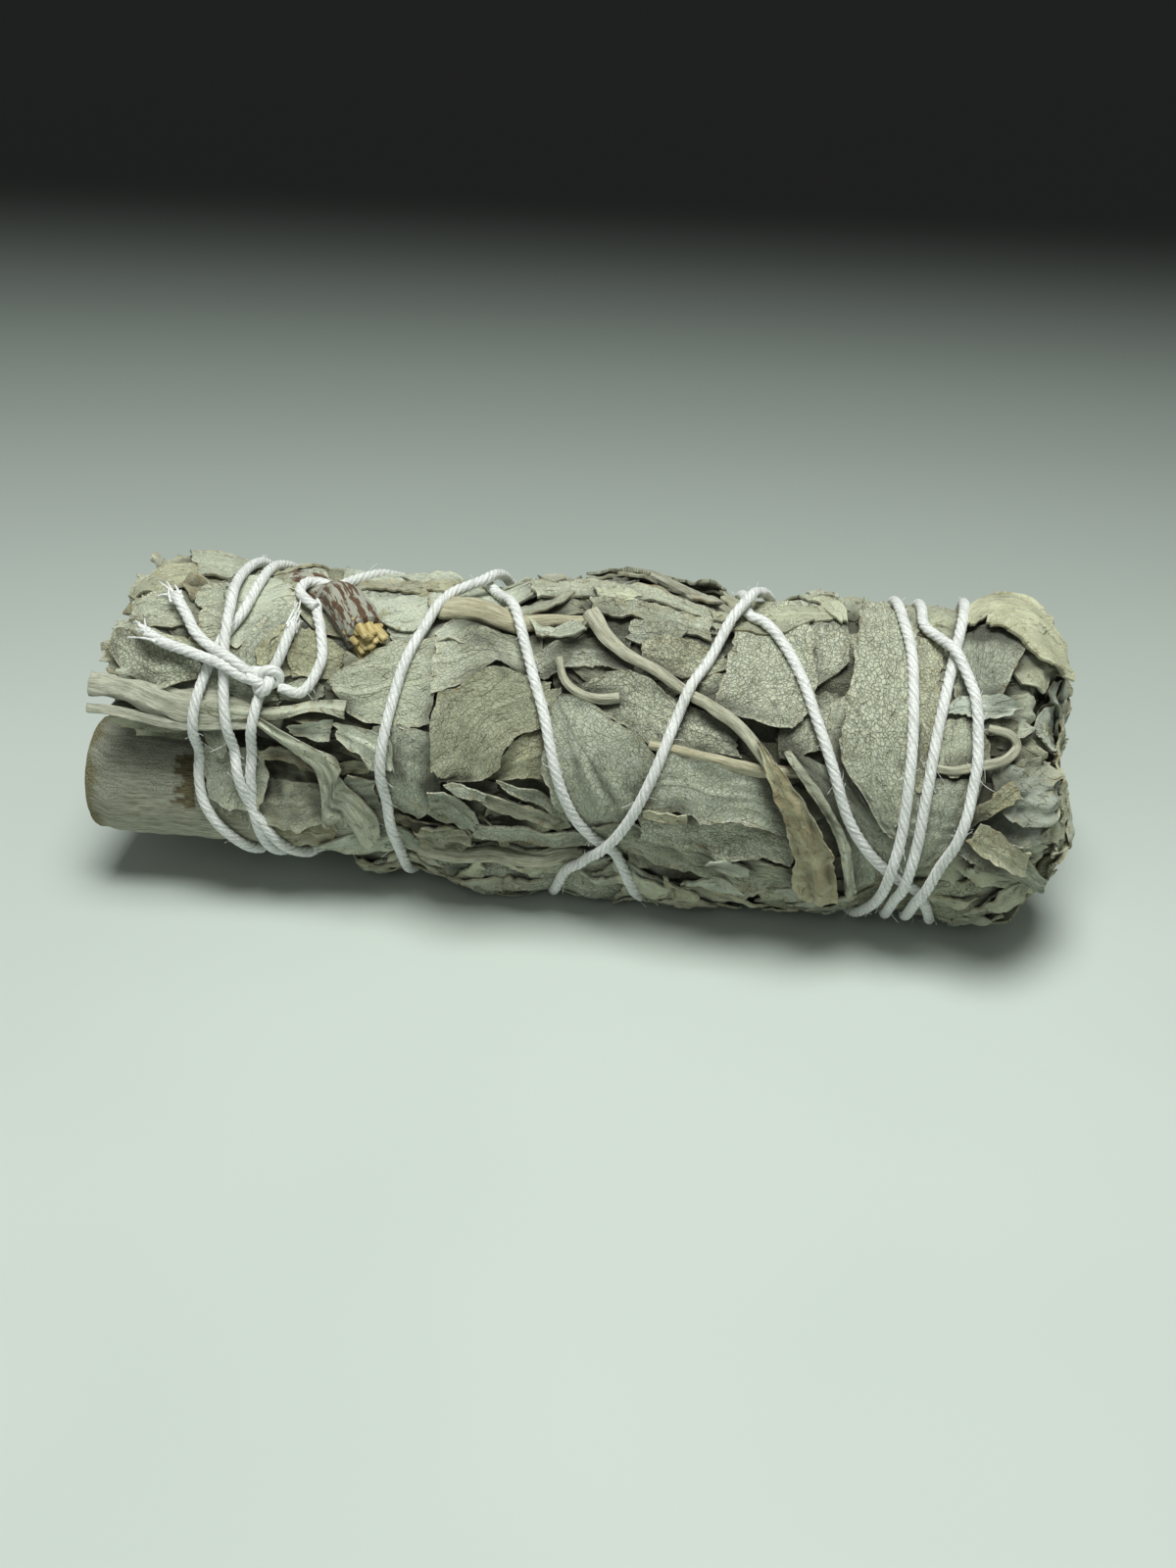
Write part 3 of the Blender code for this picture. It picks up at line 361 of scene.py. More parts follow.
# Marks a sheet's heights on the map, twice as densely as its own grid.
def markSheet(t, angle, h):
    i, j = (np.rint(np.linspace(0, n - 1, 2 * n)).astype(int) for n in h.shape)
    i, j = i[:, None], j[None]
    raiseMap(heights, t[i, j].ravel(), angle[i, j].ravel(), h[i, j].ravel())


# One leaf: a grid between two edge curves, torn along its edges and ends, laid on the map of
# heights as a stiff sheet would lie, then waved, curled up at its free edges and given its
# thickness. The top row and the reversed bottom row make the closed section.
def makeLeaf(
    edgeA, edgeB, look, rng, lift=0.0, curl=0.3, wave=0.10, torn=0.35, thick=0.26, stiff=1.0,
    spacing=0.33, ridges=(), arch=0.0, pits=False, swell=0.0, rise=0.05, crumple=0.02,
    ruffle=0.0, onTip=False, folds=0.04,
):
    a, b = smoothCurve(edgeA, 8), smoothCurve(edgeB, 8)
    scale = np.array([1.0, bundle["girth"]])
    evenA, evenB = resampled(a, 40) * scale, resampled(b, 40) * scale
    length = np.linalg.norm(np.diff(0.5 * (evenA + evenB), axis=0), axis=1).sum()
    width = np.linalg.norm(evenA - evenB, axis=1)
    widest = width.max()
    rows = int(np.clip(length / spacing, 8, 90))
    columns = int(np.clip(widest / spacing, 5, 60))
    u, v = np.linspace(0, 1, rows), np.linspace(0, 1, columns)
    startTorn = tornLine(v * widest, rng, torn, 0.45 * torn) / length
    endTorn = tornLine(v * widest, rng, torn, 0.45 * torn) / length
    along = startTorn[None] + u[:, None] * (1 + endTorn - startTorn)[None]
    sideA = tornLine(u * length, rng, 0.6 * torn, 0.42 * torn) / max(widest, 1)
    sideB = tornLine(u * length, rng, 0.6 * torn, 0.42 * torn) / max(widest, 1)
    across = -sideA[:, None] + v[None] * (1 + sideA + sideB)[:, None]
    pointA, pointB = extended(a, along), extended(b, along)
    spot = pointA + (pointB - pointA) * across[..., None]
    t, angle = tipPlace(spot) if onTip else (spot[..., 0], spot[..., 1])
    x, y = along * length, (across - 0.5) * np.interp(along, np.linspace(0, 1, 40), width)
    h = readMap(blurred[stiff], t, angle) + 0.05 + lift * 0.5
    free = np.clip(readMap(awayFromString, t, angle) / 3.0, 0, 1) ** 2
    edge = np.minimum(np.minimum(v, 1 - v)[None] * widest, np.minimum(u, 1 - u)[:, None] * length)
    h += wave * ripple(x, y, rng, 3.0, 8.0) * (0.35 + 0.65 * free)
    h += crumple * ripple(x, y, rng, 1.0, 2.8, 9) + folds * ripple(0.15 * x, y, rng, 0.8, 2.4)
    if ruffle:
        h += ruffle * u[:, None] ** 2 * (0.6 + ripple(0.35 * x, y, rng, 1.1, 2.6))
    lifted = 0.55 + 0.6 * ripple(x, y, rng, 4.0, 10.0, 4)
    h += curl * free * lifted * np.exp(-edge / 0.9) + rise * np.exp(-edge / 0.35)
    h += arch * (1 - (2 * v[None] - 1) ** 2) * free
    h += swell * free * np.clip((t - 39) / 8, 0, 1) * (0.4 + ripple(x, y, rng, 2.5, 6.0))
    addRidges(h, spot, ridges)
    if pits:
        h -= readMap(pitMap, t, angle)
    markSheet(t, angle, h - 0.6 * ruffle * u[:, None] ** 2)
    ring = np.concatenate([place(t, angle, h), place(t, angle, h - thick)[:, ::-1]], axis=1)
    flat = np.ones(2 * h.size)
    marks = {
        "leafPlace": np.stack([twice(x), twice(y), flat * (len(laidLeaves) + 1) * 7.3], axis=1),
        "leafTint": flat[:, None] * np.array(look),
        "leafRim": twice(np.exp(-np.maximum(edge, 0) / 0.45)),
        "leafShade": 0 * flat,
    }
    both = np.concatenate([h, h[:, ::-1] - thick], axis=1).ravel()
    laidLeaves.append((marks, twice(t), twice(angle), both))
    return ring.reshape(-1, 3), sheetFaces(rows, 2 * columns), marks


# Where points of the plane across the tip, in mm, come to lie on its rounded surface.
def tipPlace(spot):
    across, up = spot[..., 0], spot[..., 1] * bundle["girth"]
    share = np.clip(np.hypot(across, up) / bundle["radii"][-1], 0, 1)
    return bundle["domeStart"] + tipQuarter * np.arccos(share) * 2 / math.pi, np.arctan2(up, across)


# A sheet's values for its top side and then, the other way round, for its underside.
def twice(grid):
    return np.concatenate([grid, grid[:, ::-1]], axis=1).ravel()


# A curve read at count places that are evenly spaced by its point numbers.
def resampled(points, count):
    at = np.linspace(0, len(points) - 1, count)
    return np.stack([np.interp(at, np.arange(len(points)), column) for column in points.T], axis=1)


# A curve read at shares of its length, and carried straight on past its ends.
def extended(points, share):
    at = share * (len(points) - 1)
    inside = np.clip(at, 0, len(points) - 1)
    steps = np.arange(len(points))
    found = np.stack([np.interp(inside, steps, column) for column in points.T], axis=-1)
    first, last = points[1] - points[0], points[-1] - points[-2]
    return found + np.minimum(at, 0)[..., None] * first + np.maximum(at - steps[-1], 0)[..., None] * last


# Edge curves of a lance-shaped leaf about a middle line, its half width a power of a sine.
def lanceEdges(t, angle, length, width, slant, rng):
    u = np.linspace(0, 1, 7)
    bent = rng.uniform(-0.12, 0.12) * length * (u - u**2) * 4
    x, y = (u - 0.5) * length, bent
    half = 0.5 * width * np.maximum(np.sin(math.pi * (0.06 + 0.9 * u)) ** 0.6, 0.2)
    edges = []
    for side in (1, -1):
        along = x * math.cos(slant) - (y + side * half) * math.sin(slant)
        across = x * math.sin(slant) + (y + side * half) * math.cos(slant)
        edges.append(np.stack([t + along, angle + across / bundle["girth"]], axis=1))
    return edges


# Leaves laid one by one over the sprigs, from the bottom up: name of the CAD leaf it stands for,
# look, lift and curl in mm, and its two edges as (t in mm, angle in degrees)
tracedLeaves = [
    ("leaf_back_left", "grey", 0.1, 0.3, [(-22, 206), (-27.5, 190), (-29, 172), (-27.6, 150)],
     [(-18, 206), (-15.4, 190), (-16, 170), (-20.4, 148)]),
    ("leaf_back_middle", "net", 0.1, 0.3, [(0.8, 214), (-2.8, 195), (-3, 168), (-1, 142)],
     [(8.6, 210), (10, 192), (9.6, 168), (6.4, 140)]),
    ("leaf_back_right", "felt", 0.1, 0.3, [(19, 216), (15.8, 196), (16.4, 170), (19.6, 146)],
     [(25.8, 214), (28.6, 196), (28.4, 170), (25, 144)]),
    ("leaf_back_tip", "green", 0.2, 0.4, [(39.8, 224), (39.4, 204), (40.2, 184), (44, 165)],
     [(46.6, 228), (49, 210), (49, 190), (45.6, 166)]),
    ("leaf_top_middle", "net", 0.1, 0.3, [(-0.4, 134), (-1.8, 122), (1.4, 110), (4, 107)],
     [(8.4, 138), (12.6, 124), (11.6, 112), (9.6, 108)]),
    ("", "dark", 0, 0.3, [(-45.1, 107), (-43.6, 113), (-40.6, 114), (-37.1, 116)],
     [(-43, 92), (-40.8, 93), (-38.2, 95), (-36.3, 101)]),
    ("", "tan", 0, 0.5, [(-45.2, 82), (-43.9, 93), (-40.8, 100), (-37.1, 94)],
     [(-43.9, 76), (-41.7, 79), (-38.7, 81), (-36.7, 84)]),
    ("", "felt", 0, 0.3, [(-42.5, 114), (-40.6, 114), (-37.6, 116), (-35.9, 116)],
     [(-40.2, 92), (-38.6, 91), (-36.8, 91), (-36.3, 97)]),
    ("", "felt", 0, 0.3, [(-45, 71), (-43.7, 74), (-41.5, 77), (-38.4, 76)],
     [(-44, 59), (-41.7, 60), (-39.3, 61), (-37, 63)]),
    ("", "brown", 0, 0.7, [(-40.4, 82), (-38.9, 83), (-37.4, 80), (-36.1, 76)],
     [(-39.1, 73), (-37.8, 71), (-36.9, 69), (-36.1, 68)]),
    ("", "felt", 0, 0.2, [(-38.3, 75), (-37, 84), (-35.5, 85)],
     [(-36.9, 53), (-34.8, 51), (-33.4, 53)]),
    ("leaf_left_torn", "net", 0.2, 0.4, [(-45.8, 56), (-44.9, 58), (-43.5, 56), (-42.1, 52),
      (-40.2, 50), (-38.4, 50), (-36.6, 47)],
     [(-45.8, 49), (-45.1, 45), (-44.1, 41), (-42.6, 38), (-41.2, 35), (-39.2, 37), (-36.6, 41)]),
    ("", "felt", 0.1, 0.2, [(-44.9, 59), (-42.6, 58), (-39.5, 56), (-36.9, 52)],
     [(-43.8, 56), (-42.1, 52), (-40, 50), (-36.6, 48)]),
    ("", "grey", 0, 0.1, [(-36.6, 46), (-34.4, 52), (-31.9, 51), (-29.8, 44)],
     [(-36.3, 34), (-33.9, 33), (-31.4, 33), (-29, 35)]),
    ("", "pale", 0, 0.1, [(-36.2, 83), (-35.9, 91), (-34.3, 97), (-32.2, 94), (-29.5, 85)],
     [(-35.3, 62), (-34.4, 56), (-32.8, 55), (-31.7, 61), (-28.9, 75)]),
    ("", "grey", 0, 0.5, [(-33.3, 50), (-32.3, 59), (-30.9, 68), (-28.9, 79)],
     [(-31.6, 43), (-30.4, 53), (-29.1, 59), (-27.6, 64)]),
    ("", "olive", 0, 0.2, [(-31.3, 52), (-30.4, 59), (-29.1, 63), (-27.8, 65)],
     [(-29.8, 44), (-28.3, 44), (-27.2, 48), (-26.6, 56)]),
    ("", "pale", 0, 0.2, [(-29.1, 37), (-27.3, 44), (-25.6, 45), (-24.4, 42)],
     [(-27.1, 35), (-26, 35), (-25, 37), (-24.3, 39)]),
    ("", "olive", 0, 0.2, [(-28.2, 64), (-26.7, 64), (-25.2, 63), (-23.6, 59)],
     [(-27.3, 44), (-25.6, 45), (-24, 45), (-22.8, 52)]),
    ("", "pale", 0, 0.3, [(-25.7, 102), (-25.9, 117), (-24.5, 118), (-22.7, 115)],
     [(-24, 85), (-22.9, 83), (-21.9, 86), (-21.4, 97)]),
    ("", "pale", 0, 0.2, [(-19.4, 66), (-17.9, 71), (-16.3, 77), (-14.5, 84)],
     [(-18.1, 61), (-16.4, 61), (-14.6, 64), (-12.8, 69)]),
    ("", "pale", 0, 0.2, [(-23.3, 89), (-21.7, 99), (-19.5, 108), (-15.5, 108)],
     [(-21.1, 74), (-19.1, 67), (-16.9, 68), (-14.3, 78)]),
    ("", "grey", 0, 0.3, [(-19.3, 32), (-16.8, 44), (-14.4, 60), (-12, 65)],
     [(-17.8, 25), (-14.9, 25), (-12.6, 27), (-11, 29)]),
    ("leaf_pale_left", "felt", 0.15, 0.15, [(-24.2, 43), (-23.1, 48), (-21.9, 50), (-20, 56),
      (-18.2, 62), (-16, 63), (-13.6, 66)],
     [(-22.6, 37), (-22, 33), (-20.4, 30), (-18.1, 29), (-16.4, 28), (-14.5, 29), (-13.6, 31)]),
    ("", "brown", 0, 0.1, [(-31.6, -18), (-29.4, -20), (-26.9, -17), (-24.3, -19)],
     [(-31, -33), (-29.2, -36), (-27, -33), (-24.1, -36)]),
    ("", "brownfelt", 0, 0.3, [(-31.2, 9), (-29, 6), (-27.1, 5), (-24.6, 3)],
     [(-31, -1), (-28.7, -3), (-26.8, -4), (-24.3, -4)]),
    ("", "darkfelt", 0.1, 0.3, [(-30.9, -4), (-29, -2), (-27, -2), (-24.7, -2)],
     [(-31.6, -18), (-29.4, -20), (-27.4, -21), (-24.6, -17)]),
    ("", "grey", 0, 0.2, [(-37.3, 8), (-37.4, 1), (-37.2, -7), (-36.7, -17)],
     [(-32.9, 12), (-32.4, 3), (-32.3, -6), (-32.2, -19)]),
    ("leaf_grey_lower", "grey", 0.1, 0.2, [(-36.8, 12), (-37, 3), (-36.9, -3), (-36.3, -11)],
     [(-30.8, 12), (-30.4, 4), (-30.3, -5), (-31.5, -15)]),
    ("", "pale", 0.3, 0.5, [(-36.4, 23), (-36.4, 18), (-36, 12), (-35.5, 10)],
     [(-34.4, 23), (-34.4, 18), (-34.4, 12), (-34.6, 9)]),
    ("", "brown", 0, 0.2, [(-31.4, 13), (-28.5, 14), (-25.8, 12), (-24.9, 7)],
     [(-30.8, 8), (-28.5, 8), (-26.6, 7), (-24.9, 4)]),
    ("", "brown", 0, 0.2, [(-22.8, 21), (-21.6, 21), (-20, 17), (-19.4, 16)],
     [(-22.6, 16), (-21.5, 15), (-20.4, 13), (-19.6, 11)]),
    ("", "brown", 0, 0.2, [(-22.6, 11), (-21.3, 12), (-19.8, 11)],
     [(-22.6, 6), (-21.4, 6), (-19.8, 7)]),
    ("", "grey", 0, 0.2, [(-22.2, 6), (-21, 5), (-19.5, 4)],
     [(-21, -17), (-19.9, -15), (-19.1, -12)]),
    ("", "grey", 0, 0.3, [(-19.5, 28), (-19.6, 19), (-19.4, 10), (-19.2, -1), (-18.9, -14)],
     [(-11.4, 29), (-11.9, 20), (-12.3, 11), (-13.2, -2), (-15.3, -14)]),
    ("", "brown", 0, 0.2, [(-18.2, -19), (-15.8, -15), (-12.9, -16), (-10, -16)],
     [(-18.3, -28), (-15.9, -31), (-13.4, -31), (-10.2, -26)]),
    ("", "pale", 0.1, 0.3, [(-26.3, -33), (-22.7, -28), (-19.1, -25), (-15.9, -31), (-14.5, -37)],
     [(-25.6, -35), (-23.6, -40), (-21.3, -43), (-18.8, -43), (-16.2, -41)]),
    "splitStemUpper",
    "splitStemLower",
    ("", "pale", 0.3, 0.4, [(-27.8, 25), (-25.6, 28), (-23.4, 29)],
     [(-27, 22), (-25.2, 21), (-23.4, 21)]),
    ("", "pale", 0.4, 0.5, [(-23.4, 29), (-21.2, 27), (-19.2, 26), (-17.7, 23), (-17.3, 13)],
     [(-22.5, 22), (-21.5, 19), (-20.4, 15), (-19.5, 10), (-18.4, 10)]),
    ("", "strap", 0.3, 0.2, [(-36.8, 33), (-32.4, 32), (-28.3, 33), (-25.4, 36), (-22.1, 37)],
     [(-36.8, 29), (-32.8, 27), (-28.5, 28), (-25.1, 32), (-22, 30)]),
    ("", "strap", 0.5, 0.2, [(-31.4, 30), (-28.2, 24), (-25.5, 18), (-23.6, 15), (-22.5, 10), (-22.7, 6),
      (-22.1, 0), (-19.8, -17), (-19.6, -30)],
     [(-31.1, 26), (-28.4, 18), (-26.2, 12), (-25, 4), (-24.7, -6), (-24.8, -18), (-23.3, -18),
      (-22.3, -25), (-21.2, -33)]),
    ("", "pale", 0, 0.2, [(-17.3, 100), (-14.4, 116), (-10.3, 116), (-6.8, 115)],
     [(-15.4, 80), (-12.7, 84), (-9, 87), (-5.8, 91)]),
    ("", "pale", 0, 0.2, [(-14.3, 68), (-13, 74), (-10.8, 74), (-8.2, 71)],
     [(-14, 62), (-12.2, 62), (-10.4, 64), (-8, 66)]),
    ("", "felt", 0.1, 0.4, [(-14.3, 64), (-12.9, 64), (-10.9, 67), (-8.9, 69), (-6.3, 71), (-4.5, 72)],
     [(-13.6, 43), (-11.2, 47), (-8.6, 56), (-7.2, 57), (-5.7, 54), (-3.8, 53)]),
    ("", "grey", 0, 0.3, [(-5, 61), (-3.3, 65), (-0.6, 69), (2.2, 70), (4.6, 69)],
     [(-3.9, 51), (-1.5, 55), (1.5, 58), (3.1, 57), (5, 55)]),
    "sideTwig",
    "darkTopStem",
    ("", "pale", 0.3, 0.7, [(-5.1, 75), (-3.5, 72), (-1.6, 72), (0.5, 72)],
     [(-4.5, 68), (-3.1, 67), (-1.6, 66), (0.4, 69)]),
    ("", "felt", 0, 0.3, [(-6.2, 100), (-0.7, 99), (5.2, 95), (13.1, 88)],
     [(-5.6, 88), (-0.2, 87), (5.5, 87), (13, 81)]),
    ("", "felt", 0.1, 0.4, [(-0.2, 85), (3.6, 84), (7.5, 85), (12.1, 82)],
     [(0.5, 79), (3.9, 78), (7.6, 78), (12, 75)]),
    ("", "grey", 0, 0.3, [(3.9, 76), (6.3, 77), (9.5, 79)],
     [(4.1, 69), (6.6, 66), (9.7, 70)]),
    ("", "tannet", 0, 0.4, [(5.6, 67), (7.4, 72), (9.7, 73), (14.1, 70)],
     [(6.3, 58), (9.2, 56), (11.4, 58), (14.1, 62)]),
    ("", "net", 0, 0.2, [(9.8, 52), (11.5, 56), (14.1, 61)],
     [(11.5, 44), (12.6, 45), (14.4, 47)]),
    ("", "net", 0, 0.2, [(5.5, 54), (9.4, 48), (12.2, 43), (15.6, 37)],
     [(6.5, 32), (8.9, 29), (11.6, 28), (15.8, 27)]),
    ("", "net", 0.1, 0.2, [(-1.2, 44), (1.8, 53), (4.5, 56), (6.9, 53), (9.4, 46)],
     [(-1, 39), (1.9, 40), (5.1, 34), (7, 30), (9.8, 27)]),
    ("", "olive", 0, 0.2, [(-8.2, 14), (-6.8, 20), (-5.2, 27), (-3.4, 31), (-1.7, 32)],
     [(-7.7, 11), (-5.8, 12), (-3.9, 13), (-2.5, 14), (-1.3, 16)]),
    ("leaf_green_midrib", "green", 0.15, 0.3, [(-4.2, 51), (-6.6, 53), (-8.4, 52), (-11.4, 45),
      (-13.2, 40), (-13.4, 29), (-13.4, 12)],
     [(-1.4, 46), (-2.2, 36), (-3.5, 31), (-5.6, 27), (-6.8, 18), (-8.4, 12), (-11.9, 10)]),
    ("", "pale", -0.1, 0.3, [(-16.4, -31), (-11.3, -28), (-6.4, -27), (-0.3, -29)],
     [(-15.5, -36), (-11.5, -35), (-6.5, -36), (-0.4, -35)]),
    ("", "brownfelt", 0, 0.4, [(-15.4, -17), (-13.4, -15), (-11.5, -16), (-10.2, -23)],
     [(-15.7, -26), (-13.9, -33), (-12.2, -32), (-10, -25)]),
    ("", "brown", 0, 0.3, [(-9.2, -3), (-8.3, -7), (-7.2, -13), (-6, -21)],
     [(-8.9, -11), (-8, -16), (-7.4, -21), (-6.5, -24)]),
    ("", "brownfelt", 0.1, 0.3, [(-11.8, 10), (-8.6, 7), (-3.9, 0), (-0, -8)],
     [(-11.5, 7), (-8.9, 2), (-4.5, -7), (-0.3, -14)]),
    ("", "grey", -0.1, 0.3, [(-9.8, -10), (-6, -11), (-2.2, -14), (1.6, -18)],
     [(-10, -18), (-6.2, -20), (-2.4, -23), (1.4, -28)]),
    ("", "grey", 0.3, 0.3, [(-6.7, 12), (-4.4, 9), (-2, 4), (0, -2)],
     [(-6.6, 10), (-4.6, 5), (-2.4, -1), (-0.2, -8)]),
    ("", "grey", 0.4, 0.4, [(-13.7, 5), (-12, 7), (-10.6, 5), (-9.2, -4)],
     [(-13.6, -3), (-12.2, -7), (-10.9, -12), (-9.6, -14)]),
    ("", "grey", 0.4, 0.4, [(-12, 10), (-10, 11), (-7.7, 8)],
     [(-11.3, 8), (-9.8, 6), (-7.9, 5)]),
    ("leaf_centre_band", "grey", 0.2, 0.25, [(-1.5, 45), (1.2, 43), (4.6, 35), (7, 30), (8.6, 19),
      (7.8, 7), (6.4, -1)],
     [(-2, 43), (-2.6, 32), (-2.8, 21), (-2.4, 12), (-1.5, 1), (0.7, -9), (2.8, -15)]),
    ("", "darkfelt", -0.1, 0.3, [(3.5, -21), (7.3, -26), (13, -30), (21.6, -25)],
     [(5.3, -36), (10.1, -37), (15, -37), (21.2, -36)]),
    ("", "darkfelt", 0, 0.4, [(1.7, -9), (6.4, -4), (11.1, -10), (15.8, -13), (21.7, -16)],
     [(2.5, -24), (7.2, -28), (12.1, -32), (16.9, -34), (22.4, -30)]),
    ("", "net", 0, 0.4, [(6.4, 1), (10.1, 4), (14.8, 4), (21.1, 0)],
     [(6.9, -13), (11.1, -10), (13.9, -13), (18.2, -11), (21.5, -14)]),
    ("leaf_mid_lower", "grey", 0.1, 0.3, [(8.2, 28), (10.8, 27), (14.4, 25), (18.6, 23), (20.5, 21)],
     [(6.9, 2), (11, 6), (12.9, 3), (16.1, 4), (20.9, 0)]),
    ("", "purple", 0.2, 0.4, [(13.2, -13), (15.4, -13), (17.3, -17)],
     [(13.8, -20), (15.4, -24), (17, -24)]),
    "smallPetiole",
    "lowStem",
    "longPetiole",
    ("", "tan", 0.4, 0.3, [(6.6, 4), (9.2, 6), (11.2, 7)],
     [(6.9, 2), (9.2, 2), (11.3, 3)]),
    ("", "net", 0, 0.2, [(19.3, 54), (19.3, 43), (19.5, 29)],
     [(24.5, 54), (24.2, 44), (23.2, 31)]),
    ("", "felt", 0, 0.2, [(23.9, 50), (23.7, 41), (23.8, 30), (24.5, 20)],
     [(25.4, 51), (25.4, 41), (25.6, 31), (26, 21)]),
    ("", "net", 0.1, 0.4, [(19.8, 92), (20, 77), (20.6, 63), (21.6, 54)],
     [(24.4, 98), (25.1, 78), (25.1, 66), (23.3, 59)]),
    ("leaf_torn_upper", "net", 0.15, 0.35, [(14.8, 96), (14.2, 78), (13.7, 61), (13, 48), (12.9, 42)],
     [(20.7, 96), (21.9, 72), (22.3, 59), (21.8, 46), (20.4, 38)]),
    ("", "grey", 0, 0.1, [(19.8, 31), (22.2, 22), (24.8, 6), (26.6, -10), (27.6, -32)],
     [(26, 24), (28.3, 11), (29.9, 4), (30.8, -1), (30.9, -21)]),
    ("", "grey", 0, 0.1, [(31.3, 23), (31.2, 9), (31, -3), (31.1, -21)],
     [(38.6, 26), (37.6, 11), (36.3, 0), (33.1, -16)]),
    ("", "strap", 0.4, 0.3, [(19.8, 30), (22, 20), (24, 9), (25.4, -2), (26.1, -13), (26.7, -35)],
     [(20.4, 31), (23, 20), (25, 8), (26.5, -3), (27.1, -15), (27.8, -34)]),
    "curledLeafPetiole",
    ("leaf_curled_brown", "brownleaf", 0.8, 0.3, [(17, 35), (18.6, 22), (19.9, 12), (21, 0),
      (21.5, -14), (22, -31)],
     [(17.6, 33), (20.7, 21), (22.9, 11), (24.6, -1), (25.4, -11), (26.1, -31)]),
    ("", "tannet", 0, 0.1, [(31.4, 87), (31.3, 65), (31.3, 49), (31.4, 36), (31.3, 20)],
     [(34.2, 85), (33.8, 61), (33.6, 45), (33.2, 30), (32.8, 18)]),
    ("leaf_big_netted", "net", 0.2, 0.2, [(26.1, 105), (25.9, 83), (25.5, 64), (25.1, 44), (25.2, 29),
      (27.5, 17), (29.6, 4)],
     [(30.4, 103), (31.4, 82), (31.4, 57), (31.4, 36), (31.2, 17), (30.8, 5), (30.5, 1)]),
    ("", "felt", 0.1, 0.3, [(34.5, 47), (34, 37), (33.8, 26)],
     [(38, 47), (39, 38), (39.4, 29)]),
    ("", "grey", 0.1, 0.5, [(34.9, 87), (34.6, 72), (35, 58), (35.3, 52)],
     [(41.5, 93), (41.6, 80), (40.6, 65), (39.8, 55)]),
    ("leaf_tip_top", "yellow", 0, 0.3, [(35.6, 94), (37.7, 115), (40.3, 115), (42.3, 112)],
     [(39.7, 80), (42.4, 73), (45.6, 76), (48.0, 84)]),
    ("", "blue", 0.3, 0.5, [(34.4, 53), (35.9, 56), (38.5, 55), (41.7, 53)],
     [(34.3, 48), (36, 49), (38.4, 47), (40.8, 49)]),
    ("", "olive", 0.3, 0.5, [(41, 26), (39.2, 20), (37.6, 14), (37, 9)],
     [(41.7, 21), (40.7, 17), (38.8, 11), (37.6, 7)]),
    ("", "grey", 0.4, 0.6, [(37, 7), (39.8, 5), (42.8, -1), (48.6, -47)],
     [(36.3, -1), (39.1, -6), (42.9, -16), (47.9, -49)]),
    ("leaf_tip_front", "tan", 0.3, 0.6, [(38.4, 12), (40.2, 8), (42.8, 1)],
     [(37.2, 4), (40, -2), (42.6, -9)]),
    "petioleHook",
]
# Raised (or sunk) lines on some of them: from (t, angle) to (t, angle), height and width
leafRidges = {
    "leaf_centre_band": [
        (-1.0, 39, 3.1, 5, 0.40, 0.55), (-0.4, 37, 5.7, 3, 0.35, 0.6), (-0.8, 38, 4.2, 6, -0.35, 0.5),
        (-1.6, 44, 1.0, 12, -0.2, 0.5),
    ],
    "leaf_green_midrib": [(-5.6, 52, -11.2, 27, 0.14, 0.35)],
    "leaf_big_netted": [(26.8, 90, 28.4, 40, -0.16, 0.3), (28.4, 40, 28.0, 15, -0.08, 0.3)],
    "leaf_curled_brown": [(18.6, 27, 24.6, -20, 0.5, 0.5), (19.6, 20, 22.5, -22, -0.3, 0.6)],
    "leaf_torn_upper": [(18.0, 92, 17.0, 48, 0.10, 0.4)],
    "leaf_tip_top": [(38, 90, 46, 66, 0.4, 0.8)],
}


